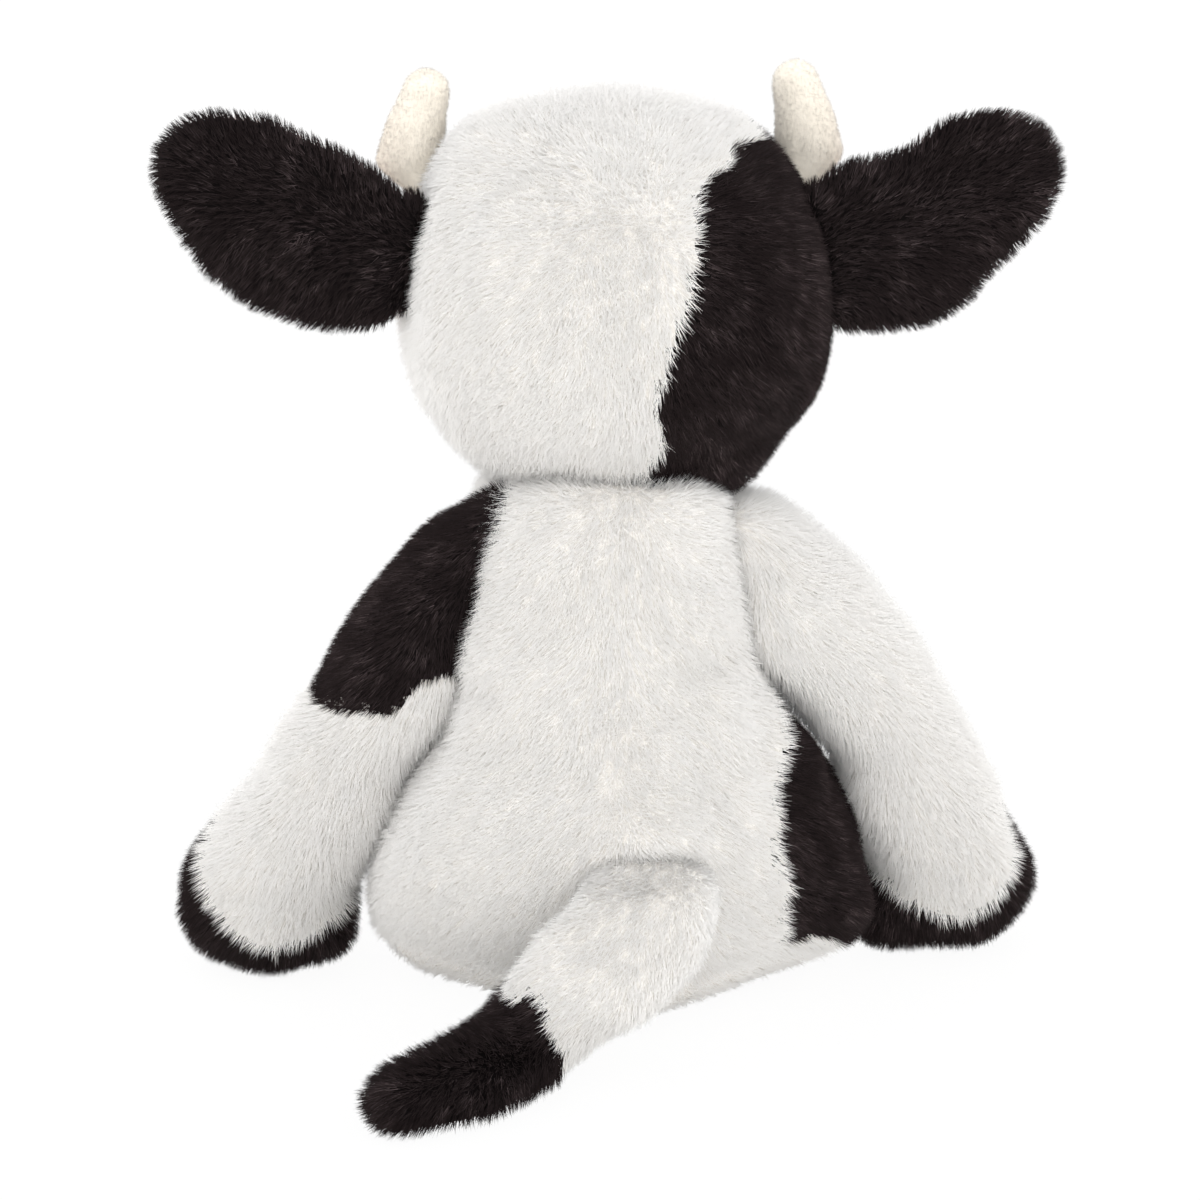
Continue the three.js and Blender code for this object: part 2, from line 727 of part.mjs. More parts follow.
function placeHead() {
  let grooves = earGroove(1).add(earGroove(-1));
  let cover = shellOf(headForm, clothThickness).subtract(grooves);
  let stuffing = headForm(stuffingDepth).subtract(grooves);
  cover = cover.subtract(rod(neckCentre, v3(0, 0, -1), neckOpeningRadius, cutReach));
  for (const [name, side] of [['left', 1], ['right', -1]]) {
    const frame = eyeFrame(side);
    const inwards = frame.normal.clone().negate();
    const from = frame.point.clone().addScaledVector(frame.normal, clothThickness);
    const deep = clothThickness + eyeShankLength + seamGap;
    cover = cover.subtract(rod(from, inwards, eyeShankRadius + seamGap, deep, limbSides));
    stuffing = stuffing.subtract(rod(from, inwards, eyeWasherRadius + 2 * seamGap, deep, limbSides));
    place(`${name}_eye`, eye(frame), 'gloss');
    place(`${name}_eye_washer`, washer(frame), 'nylon');
    const horn = (depth) => hornForm(side, depth);
    place(`${name}_horn_cover`, shellOf(horn, feltThickness).subtract(headForm(-seamGap)), 'felt');
    place(`${name}_horn_fill`, horn(feltThickness + seamGap).subtract(headForm(-seamGap)), 'stuffing');
  }
  const patch = cutPanel(cover, headPatchRegion(0), headPatchRegion(seamGap));
  place('head_cover', patch.rest, 'whitePlush');
  place('head_patch', patch.panel, 'blackPlush');
  place('head_fill', stuffing, 'stuffing');
}

function placeMuzzle() {
  place('muzzle_cover', shellOf(muzzleForm, clothThickness).subtract(headForm(-seamGap)), 'muzzlePlush');
  place('muzzle_fill', muzzleForm(stuffingDepth).subtract(headForm(-seamGap)), 'stuffing');
  const onMuzzle = (x, z) => surfaceOf(
    outerMuzzle, v3(x, -muzzleForward, muzzleCentreHeight + z), v3(0, -1, 0),
  ).point;
  const shape = new THREE.SphereGeometry(1, hornSides, hornSides / 2);
  for (const [name, side] of [['left', 1], ['right', -1]]) {
    const centre = onMuzzle(side * nostrilSpacing / 2, nostrilRise);
    const bead = shape.clone().scale(nostrilWidth / 2, nostrilHeight / 2, nostrilHeight / 2);
    const body = solid(bead.translate(centre.x, centre.y, centre.z));
    place(`${name}_nostril_stitching`, body.subtract(solid(inset(outerMuzzle, -seamGap))), 'thread');
  }
  const lift = v3(0, -(stitchRadius + seamGap), 0);
  const path = new THREE.CatmullRomCurve3(mouthShares.map((share) => onMuzzle(
    mouthHalfWidth * share, -mouthDrop - mouthCurl * (1 - share * share),
  ).add(lift)));
  const section = new THREE.Shape().absarc(0, 0, stitchRadius, 0, 2 * Math.PI);
  const stitch = new THREE.ExtrudeGeometry(section, {
    steps: stitchSteps, extrudePath: path, curveSegments: stitchSides,
  });
  place('mouth_stitching', solid(stitch), 'thread');
}

function placeEar(name, side) {
  const { root, line, outwards } = earFrame(side);
  const backwards = line.clone().cross(outwards).multiplyScalar(side).normalize();
  const form = earForm(side);
  const half = (sign) => beyond(
    root.clone().addScaledVector(backwards, sign * seamGap / 2), backwards.clone().multiplyScalar(sign),
  );
  place(`${name}_ear_back`, form.intersect(half(1)), 'blackPlush');
  place(`${name}_ear_lining`, form.intersect(half(-1)), 'earLining');
}

function placeArm(name, side) {
  const form = (depth) => armForm(side, depth);
  const shell = shellOf(form, clothThickness).intersect(armRoot(side, seamGap));
  const hoof = cutPanel(shell, armHoofSeam(side, 0), armHoofSeam(side, seamGap));
  place(`${name}_arm_hoof`, hoof.panel, 'blackPlush');
  place(`${name}_arm_fill`, form(stuffingDepth).intersect(armRoot(side, 2 * seamGap)), 'stuffing');
  if (side < 0) {
    place(`${name}_arm_cover`, hoof.rest, 'whitePlush');
    return;
  }
  const patch = cutPanel(hoof.rest, armPatchSeam(side, 0), armPatchSeam(side, seamGap));
  place(`${name}_arm_upper_patch`, patch.panel, 'blackPlush');
  place(`${name}_arm_cover`, patch.rest, 'whitePlush');
}

function placeLeg(name, side) {
  const form = (depth) => legForm(side, depth);
  const shell = shellOf(form, clothThickness).subtract(rod(hip(side), v3(0, 1, 0), hipOpeningRadius, cutReach));
  const hoof = cutPanel(shell, legHoofSeam(0), legHoofSeam(seamGap));
  place(`${name}_leg_cover`, hoof.rest, 'whitePlush');
  place(`${name}_leg_hoof`, hoof.panel, 'blackPlush');
  place(`${name}_leg_fill`, form(stuffingDepth), 'stuffing');
}

function placeTail() {
  const opening = rod(tailRoot, v3(0, -1, 0), tailOpeningRadius, cutReach);
  const shell = shellOf(tailForm, clothThickness).subtract(opening);
  const tuft = cutPanel(shell, tailSeam(0), tailSeam(seamGap));
  place('tail_cover', tuft.rest, 'whitePlush');
  place('tail_tuft', tuft.panel, 'blackPlush');
  place('tail_fill', tailForm(stuffingDepth), 'stuffing');
}

placeTorso();
placeHead();
placeMuzzle();
placeEar('left', 1);
placeEar('right', -1);
placeArm('left', 1);
placeArm('right', -1);
placeLeg('left', 1);
placeLeg('right', -1);
placeTail();

export default group;
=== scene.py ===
"""A sitting plush cow: soft stuffed skins under a long pile, felt horns and glossy eyes.

Metres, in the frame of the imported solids: +Z is up, the cow faces -Y, its left side is +X
and it sits on z = 0.
"""

import logging
import math
from dataclasses import dataclass, field, replace
from enum import Enum
from typing import Iterable

import bmesh
import bpy
import numpy as np
from mathutils import Matrix, Vector
from mathutils.bvhtree import BVHTree


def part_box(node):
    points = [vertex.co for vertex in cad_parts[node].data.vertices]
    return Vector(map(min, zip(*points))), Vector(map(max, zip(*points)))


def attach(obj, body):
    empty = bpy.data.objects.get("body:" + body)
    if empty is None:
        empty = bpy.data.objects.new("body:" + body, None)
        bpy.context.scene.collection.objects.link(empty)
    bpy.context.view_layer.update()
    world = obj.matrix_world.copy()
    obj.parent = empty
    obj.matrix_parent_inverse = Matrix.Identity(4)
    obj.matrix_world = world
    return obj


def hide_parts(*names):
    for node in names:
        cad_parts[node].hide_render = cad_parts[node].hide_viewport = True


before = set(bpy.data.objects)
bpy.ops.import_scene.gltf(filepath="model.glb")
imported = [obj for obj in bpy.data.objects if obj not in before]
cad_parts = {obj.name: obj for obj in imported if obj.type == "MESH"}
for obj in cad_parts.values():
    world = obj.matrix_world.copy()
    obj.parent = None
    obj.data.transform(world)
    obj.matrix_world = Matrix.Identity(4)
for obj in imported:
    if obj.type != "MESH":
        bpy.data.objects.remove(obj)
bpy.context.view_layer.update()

LOG = logging.getLogger("plush_cow")
MM = 0.001
PER_METRE = 1000
SEED = 41
# Places nearer to each other than this are one.
WELD = 1e-6
# How low a fibre and the cloth may lie above the floor.
FLOOR_CLEARANCE = 0.4 * MM
CLOTH_CLEARANCE = 1.2 * MM
# The room at which the cloth starts to swell, and at which it swells in full.
SWELL_ROOM = (1.2 * MM, 3.5 * MM)
# How far away neighbours are looked for from the cloth and from the pile, and panels.
CLOTH_SEARCH = 8 * MM
PILE_SEARCH = 14 * MM
PANEL_SEARCH = 30 * MM
FIBRES_PER_PIECE = 60000
# The noise's table and how a cell's number is mixed to pick from it.
NOISE_TABLE = 4096
NOISE_MIX = (73856093, 19349663, 83492791)
# A fibre has three root corners and a tip, and these sides.
FIBRE_SIDES = ((0, 1, 3), (1, 2, 3), (2, 0, 3))
# Where its corners lie on the pile's own map: across, beside its tone, and from root to tip.
MAP_ACROSS = (0.01, 0.06, 0.11, 0.06)
MAP_UPWARD = (0.01, 0.01, 0.01, 0.99)
PILE_MAP = "OFBake"
Point = tuple[float, float, float]
# What a node's input takes: a value, a colour or another node's socket.
Feed = bpy.types.NodeSocket | float | tuple[float, ...]


# Small helpers for numbers and noise


def linear(colour: str) -> tuple[float, float, float, float]:
    """Turns an sRGB hex colour into linear light.

    Args:
        colour: Six hex digits, such as "f1eee9".

    Returns:
        Red, green, blue and an alpha of one.
    """
    parts = [int(colour[i : i + 2], 16) / 255 for i in (0, 2, 4)]
    lit = [p / 12.92 if p <= 0.04045 else ((p + 0.055) / 1.055) ** 2.4 for p in parts]
    return (*lit, 1.0)


def unit(vectors: np.ndarray) -> np.ndarray:
    """Scales each row to length one."""
    return vectors / np.maximum(np.linalg.norm(vectors, axis=-1, keepdims=True), 1e-12)


def metres(place: Point) -> np.ndarray:
    """Turns a place or a move from millimetres into metres."""
    return np.array(place) / PER_METRE


def ramp(values: np.ndarray, low: float, high: float) -> np.ndarray:
    """Rises smoothly from 0 at low to 1 at high."""
    share = np.clip((values - low) / (high - low), 0, 1)
    return share * share * (3 - 2 * share)


def swirl(points: np.ndarray, cell: float, seed: int) -> np.ndarray:
    """Smooth noise with three channels.

    Args:
        points: Places, in metres.
        cell: Size of one swell, in metres.
        seed: Which pattern.

    Returns:
        One vector for each place, each part between -1 and 1.
    """
    table = np.random.default_rng(seed).uniform(-1, 1, (NOISE_TABLE, 3)).astype(np.float32)
    scaled = points / cell
    base = np.floor(scaled).astype(np.int64)
    part = (scaled - base).astype(np.float32)
    part = part * part * (3 - 2 * part)
    total = np.zeros((len(points), 3), np.float32)
    mix_x, mix_y, mix_z = NOISE_MIX
    for dx in (0, 1):
        for dy in (0, 1):
            for dz in (0, 1):
                corner = base + (dx, dy, dz)
                key = corner[:, 0] * mix_x ^ corner[:, 1] * mix_y ^ corner[:, 2] * mix_z
                weight = np.ones(len(points), np.float32)
                for axis, step in enumerate((dx, dy, dz)):
                    weight *= part[:, axis] if step else 1 - part[:, axis]
                total += table[key % NOISE_TABLE] * weight[:, None]
    return total


def patches(points: np.ndarray, cell: float, seed: int) -> np.ndarray:
    """Soft dark and light patches, from 0 to 1."""
    return np.clip(0.5 + 0.6 * swirl(points, cell, seed)[:, 0], 0, 1)


# Materials


def add_node(
    tree: bpy.types.NodeTree, kind: str, feeds: dict | None = None, **settings
) -> bpy.types.Node:
    """Adds one node with its settings and links.

    Args:
        tree: The node tree of a material or world.
        kind: Blender's name for the node.
        feeds: Input name or index to a value, or to the output socket that feeds it.
        **settings: Properties of the node.

    Returns:
        The node.
    """
    node = tree.nodes.new(kind)
    for name, value in settings.items():
        setattr(node, name, value)
    for name, value in (feeds or {}).items():
        if isinstance(value, bpy.types.NodeSocket):
            tree.links.new(value, node.inputs[name])
        else:
            node.inputs[name].default_value = value
    return node


def new_material(name: str) -> tuple[bpy.types.Material, bpy.types.NodeTree]:
    """Makes an empty node material."""
    material = bpy.data.materials.new(name)
    material.use_nodes = True
    material.node_tree.nodes.clear()
    return material, material.node_tree


def finish_with(tree: bpy.types.NodeTree, shader: bpy.types.Node) -> None:
    """Sends a shader to the material's surface."""
    add_node(tree, "ShaderNodeOutputMaterial", {"Surface": shader.outputs[0]})


def principled(tree: bpy.types.NodeTree, feeds: dict) -> None:
    """Gives a material one Principled surface with these inputs."""
    finish_with(tree, add_node(tree, "ShaderNodeBsdfPrincipled", feeds))


def blended(tree: bpy.types.NodeTree, share: Feed, low: Feed, high: Feed) -> bpy.types.NodeSocket:
    """Blends two colours by a share, each given as a value or as a socket."""
    feeds = {0: share, 6: low, 7: high}
    return add_node(tree, "ShaderNodeMix", feeds, data_type="RGBA").outputs[2]


def sum_of(
    tree: bpy.types.NodeTree, operation: str, first: Feed, second: Feed
) -> bpy.types.NodeSocket:
    """Works out one sum, such as MULTIPLY, from values or sockets."""
    return add_node(tree, "ShaderNodeMath", {0: first, 1: second}, operation=operation).outputs[0]


def noise(
    tree: bpy.types.NodeTree, cell: float, detail: float, roughness: float = 0.5
) -> bpy.types.NodeSocket:
    """Noise fixed to the piece, with swells of a real size in metres."""
    place = add_node(tree, "ShaderNodeTexCoord").outputs["Object"]
    feeds = {"Vector": place, "Scale": 1 / cell, "Detail": detail, "Roughness": roughness}
    return add_node(tree, "ShaderNodeTexNoise", feeds).outputs[0]


def bumped(
    tree: bpy.types.NodeTree, height: bpy.types.NodeSocket, distance: float, strength: float
) -> bpy.types.NodeSocket:
    """Turns a height into the normals of a rough surface."""
    feeds = {"Height": height, "Distance": distance, "Strength": strength}
    return add_node(tree, "ShaderNodeBump", feeds).outputs[0]


@dataclass(frozen=True)
class PileFinish:
    """Plush pile: soft fibres, darker at the root as painted shade deep in the pile and paler towards the
    tip, each with its own tone.

    The pile's own map holds the tone from side to side and the way from root to tip upwards.
    """

    name: str
    # The root colour is darker than the tip colour: painted shade deep in the pile.
    root: str
    tip: str
    # A paler colour that fibres of high tone take: on the black pile a painted glint, on the others paler
    # fibres.
    stray: str
    pale_fibre_and_glint_share: float
    roughness: float
    specular: float
    # Loose fibres glow where the cloth turns away from the eye.
    sheen: float = 0.0

    def build(self) -> bpy.types.Material:
        """Builds the material."""
        material, tree = new_material(self.name)
        uv = add_node(tree, "ShaderNodeUVMap", uv_map=PILE_MAP)
        way = add_node(tree, "ShaderNodeSeparateXYZ", {0: uv.outputs[0]}).outputs
        # Darker at the root, painted shade deep in the pile, and paler towards the tip.
        length = blended(tree, way[1], linear(self.root), linear(self.tip))
        # Fibres of high tone take the stray colour, which on the black pile is a painted glint.
        share = sum_of(tree, "MULTIPLY", way[0], self.pale_fibre_and_glint_share)
        principled(
            tree,
            {
                "Base Color": blended(tree, share, length, linear(self.stray)),
                "Roughness": self.roughness,
                "Specular IOR Level": self.specular,
                "Sheen Weight": self.sheen,
            },
        )
        return material


@dataclass(frozen=True)
class BackingFinish:
    """Knitted backing under the pile, spun stuffing or a woven bag: matte and finely rough."""

    name: str
    colour: str
    # Knit loops are about 0.8 mm apart.
    loop: float = 0.8 * MM
    depth: float = 0.3 * MM

    def build(self) -> bpy.types.Material:
        """Builds the material."""
        material, tree = new_material(self.name)
        principled(
            tree,
            {
                "Base Color": linear(self.colour),
                "Roughness": 0.95,
                "Specular IOR Level": 0.1,
                "Normal": bumped(tree, noise(tree, self.loop, 2.0), self.depth, 0.6),
            },
        )
        return material


@dataclass(frozen=True)
class FeltFinish:
    """Brushed wool felt: matte and cream, mottled by its fibres and faintly clouded."""

    name: str
    colour: str
    dark: str
    # How large the mottling and the clouds are, and how deep the mottling.
    mottle: float = 1.5 * MM
    cloud: float = 9 * MM
    depth: float = 0.25 * MM

    def build(self) -> bpy.types.Material:
        """Builds the material."""
        material, tree = new_material(self.name)
        mottle = noise(tree, self.mottle, 6.0, 0.7)
        both = sum_of(tree, "ADD", mottle, noise(tree, self.cloud, 3.0))
        share = sum_of(tree, "MULTIPLY", both, 0.5)
        principled(
            tree,
            {
                "Base Color": blended(tree, share, linear(self.dark), linear(self.colour)),
                "Roughness": 0.9,
                "Specular IOR Level": 0.15,
                "Sheen Weight": 0.15,
                "Normal": bumped(tree, mottle, self.depth, 0.5),
            },
        )
        return material


@dataclass(frozen=True)
class MouldedFinish:
    """A moulded or spun finish of one colour, with a faint grain in its surface."""

    name: str
    colour: str
    roughness: float
    grain: float
    depth: float

    def build(self) -> bpy.types.Material:
        """Builds the material."""
        material, tree = new_material(self.name)
        principled(
            tree,
            {
                "Base Color": linear(self.colour),
                "Roughness": self.roughness,
                "Normal": bumped(tree, noise(tree, self.grain, 2.0), self.depth, 0.3),
            },
        )
        return material


class Finish(Enum):
    """The finishes of the cow, one material each."""

    # Every pile's root colour is a shade darker than its tip: painted shade deep in the pile.
    # Soft white polyester: hardly any shine, so the eye sees only faint hollows between tufts.
    WHITE_PILE = PileFinish("white_polyester_pile", "f8f4ee", "fbf9f6", "ffffff", 0.6, 0.9, 0.15, 0.4)
    # Black polyester: brown-black; the pale grey stray colour on a few rare fibres is a painted glint,
    # over a faint real gloss.
    BLACK_PILE = PileFinish("black_polyester_pile", "030101", "0f0808", "8a7a7b", 1.0, 0.6, 0.03)
    # Short rose pile on the muzzle and inside the ears.
    ROSE_PILE = PileFinish("rose_short_pile", "cda69b", "e3c4ba", "f0d8cf", 0.3, 0.9, 0.2, 0.2)
    # The fine fuzz that stands off brushed wool felt.
    FELT_NAP = PileFinish("cream_felt_nap", "d8d2c8", "e3ddd3", "ebe6dd", 0.3, 0.9, 0.15)
    # Knitted polyester in the pile's colours; the white one is darker than its pile, painted shade seen
    # through the gaps between fibres.
    WHITE_BACKING = BackingFinish("white_knit_backing", "e2ded8")
    BLACK_BACKING = BackingFinish("black_knit_backing", "0b0808")
    ROSE_BACKING = BackingFinish("rose_knit_backing", "cfa79b")
    # Spun polyester: loose loops about 2 mm across.
    STUFFING = BackingFinish("spun_polyester_stuffing", "f5f5f2", 2 * MM)
    # Woven cotton, with a thread every 0.6 mm.
    BAG = BackingFinish("woven_cotton_bag", "d8d5cc", 0.6 * MM)
    # Cream wool felt, a little darker where it is thin.
    FELT = FeltFinish("brushed_wool_felt", "ece5d9", "ddd5c6")
    # Polished acrylic: near black with a clear, sharp highlight.
    EYE = MouldedFinish("polished_acrylic_eye", "050404", 0.08, 4 * MM, 0.01 * MM)
    # Moulded nylon: off-white, with a dull gloss.
    NYLON = MouldedFinish("moulded_nylon_washer", "f0f0ec", 0.45, 0.5 * MM, 0.02 * MM)
    # Rayon thread: a soft gleam along each stitch.
    THREAD = MouldedFinish("rayon_embroidery_thread", "4a3433", 0.42, 0.3 * MM, 0.08 * MM)

    def material(self) -> bpy.types.Material:
        """Returns this finish's material, made on first use."""
        return bpy.data.materials.get(self.value.name) or self.value.build()


# Mesh helpers


def mesh_object(name: str, mesh: bpy.types.Mesh) -> bpy.types.Object:
    """Links a mesh as an object at the origin."""
    obj = bpy.data.objects.new(name, mesh)
    bpy.context.scene.collection.objects.link(obj)
    return obj


def object_from(name: str, shape: bmesh.types.BMesh, finish: Finish) -> bpy.types.Object:
    """Turns a bmesh into a smooth-shaded object with one finish."""
    mesh = bpy.data.meshes.new(name)
    shape.to_mesh(mesh)
    shape.free()
    mesh.polygons.foreach_set("use_smooth", np.ones(len(mesh.polygons), bool))
    mesh.materials.append(finish.material())
    return mesh_object(name, mesh)


def make_modifiers_real(obj: bpy.types.Object) -> None:
    """Puts what an object's modifiers make into its mesh."""
    graph = bpy.context.evaluated_depsgraph_get()
    mesh = bpy.data.meshes.new_from_object(obj.evaluated_get(graph))
    old = obj.data
    obj.modifiers.clear()
    obj.data = mesh
    bpy.data.meshes.remove(old)
    mesh.name = obj.name


def vertex_array(mesh: bpy.types.Mesh) -> np.ndarray:
    """Returns the vertices' places."""
    out = np.empty(len(mesh.vertices) * 3, np.float32)
    mesh.vertices.foreach_get("co", out)
    return out.reshape(-1, 3)


def normal_array(mesh: bpy.types.Mesh) -> np.ndarray:
    """Returns the vertices' normals."""
    out = np.empty(len(mesh.vertices) * 3, np.float32)
    mesh.vertex_normals.foreach_get("vector", out)
    return out.reshape(-1, 3)


def triangle_array(mesh: bpy.types.Mesh) -> np.ndarray:
    """Returns the triangles' vertex numbers."""
    mesh.calc_loop_triangles()
    out = np.empty(len(mesh.loop_triangles) * 3, np.int32)
    mesh.loop_triangles.foreach_get("vertices", out)
    return out.reshape(-1, 3)


def tree_of(nodes: Iterable[str]) -> BVHTree:
    """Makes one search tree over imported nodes."""
    places: list[Vector] = []
    faces: list[list[int]] = []
    for name in nodes:
        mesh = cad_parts[name].data
        start = len(places)
        places += [v.co.copy() for v in mesh.vertices]
        faces += [[start + i for i in p.vertices] for p in mesh.polygons]
    return BVHTree.FromPolygons(places, faces)


def distances(tree: BVHTree, points: np.ndarray, reach: float) -> np.ndarray:
    """Distance of each place to a tree's surface, at most reach."""
    found = [tree.find_nearest(p, reach)[3] for p in points]
    return np.array([reach if d is None else d for d in found], np.float32)


def clearance(tree: BVHTree, starts: np.ndarray, ways: np.ndarray, reach: float) -> np.ndarray:
    """How far each ray goes before it meets a tree's surface, at most reach."""
    found = [tree.ray_cast(s, w, reach)[3] for s, w in zip(starts.tolist(), ways.tolist())]
    return np.array([reach if d is None else d for d in found], np.float32)


# Plush


@dataclass(frozen=True)
class Pile:
    """How one plush is cut.

    Length and width are a fibre's own, lean is degrees from upright, tufts are small bunches
    whose tips draw together by the gather share, and tousle is how far the nap wanders.
    """

    length: float = 5.8 * MM
    width: float = 0.33 * MM
    lean: float = 46.0
    per_mm2: float = 2.3
    tousle: float = 0.42
    tuft: float = 2.4 * MM
    gather: float = 0.24
    # How much each fibre's own roundness catches the light, and how its tone is spread.
    crisp: float = 0.22
    rarity: float = 1.0


@dataclass(frozen=True)
class Growth:
    """How every pile grows: how far chance spreads it, its noises, and its gaps to neighbours."""

    # Sizes of the nap's slow drift and quick wave, the wave's share, and each fibre's own stray.
    drift: float = 20 * MM
    wave: float = 5 * MM
    wave_share: float = 0.6
    stray: float = 0.3
    # Degrees that the lean spreads by, and its limits.
    lean_spread: float = 11
    lean_limits: tuple[float, float] = (10, 75)
    # Shares of the pile's own length, gather and width.
    lengths: tuple[float, float] = (0.78, 1.1)
    gathers: tuple[float, float] = (0.3, 1.4)
    widths: tuple[float, float] = (0.75, 1.2)
    # In fibre lengths: how near a neighbour has to be to matter, and how far a fibre looks.
    close: float = 1.2
    look: float = 1.3
    # A root's gap to its neighbour, a tip's gap to what it meets, and the shortest fibre.
    root_gap: float = 0.5 * MM
    tip_gap: float = 0.3 * MM
    shortest: float = 0.6 * MM
    # In millimetres: how deep a fibre starts in the cloth, and how high its view starts.
    root_depth: float = 0.3
    view_lift: float = 0.1
    # How a colour edge and a tuft's edge wander: the size in metres, the width in millimetres.
    edge_cell: float = 3 * MM
    edge_wander: float = 0.6
    tuft_cell: float = 4 * MM
    tuft_wander: float = 0.8
    # Under the seat, where the cloth faces down, this share of the fibres is left out.
    under_height: float = 3 * MM
    under_facing: float = -0.7
    under_share: float = 0.75
    # What a fibre's tone is made of: chance, strands and clouds of these sizes, and its top.
    strand: float = 0.9 * MM
    cloud: float = 7 * MM
    tone_shares: tuple[float, float, float] = (0.35, 0.4, 0.25)
    tone_top: float = 0.88
    # Turns a tuft's three cell numbers into one.
    cell_key: tuple[int, int, int] = (1, 2**12, 2**24)


GROWTH = Growth()


@dataclass(frozen=True)
class Panel:
    """One panel of plush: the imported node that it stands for, its finishes and its pile."""

    node: str
    finish: Finish
    backing: Finish
    slot: str
    pile: Pile = Pile()
    # How far its edge lies over its neighbours.
    reach: float = 0.0


@dataclass(frozen=True)
class Fold:
    """A crease in the cloth between two places, in millimetres, where a seam pulls it in."""

    start: Point
    end: Point
    depth: float
    width: float
    # How much of the depth is left at its ends.
    ends: float = 0.35

    def sink(self, points: np.ndarray) -> np.ndarray:
        """How deep each place sinks."""
        a, b = metres(self.start), metres(self.end)
        along = np.clip(((points - a) @ (b - a)) / ((b - a) @ (b - a)), 0, 1)
        gap = np.linalg.norm(points - (a + along[:, None] * (b - a)), axis=1)
        depth, width = self.depth / PER_METRE, self.width / PER_METRE
        along_share = self.ends + (1 - self.ends) * np.sin(math.pi * along)
        return depth * np.exp(-((gap / width) ** 2)) * along_share


@dataclass(frozen=True)
class Pull:
    """Cloth eased by hand, in millimetres: places within reach follow its move, less at the rim."""

    place: Point
    move: Point
    reach: float

    def share(self, points: np.ndarray) -> np.ndarray:
        """How far each place follows, from 0 to 1."""
        gap = np.linalg.norm(points - metres(self.place), axis=1) / (self.reach / PER_METRE)
        return np.clip(1 - gap * gap, 0, 1) ** 2

    def apply(self, points: np.ndarray) -> np.ndarray:
        """Returns the moved places."""
        return points + self.share(points)[:, None] * metres(self.move)


@dataclass(frozen=True)
class SeamShift:
    """A stretch of a panel's edge, in millimetres, that lies further out, or in if negative."""

    node: str
    place: Point
    amount: float
    reach: float


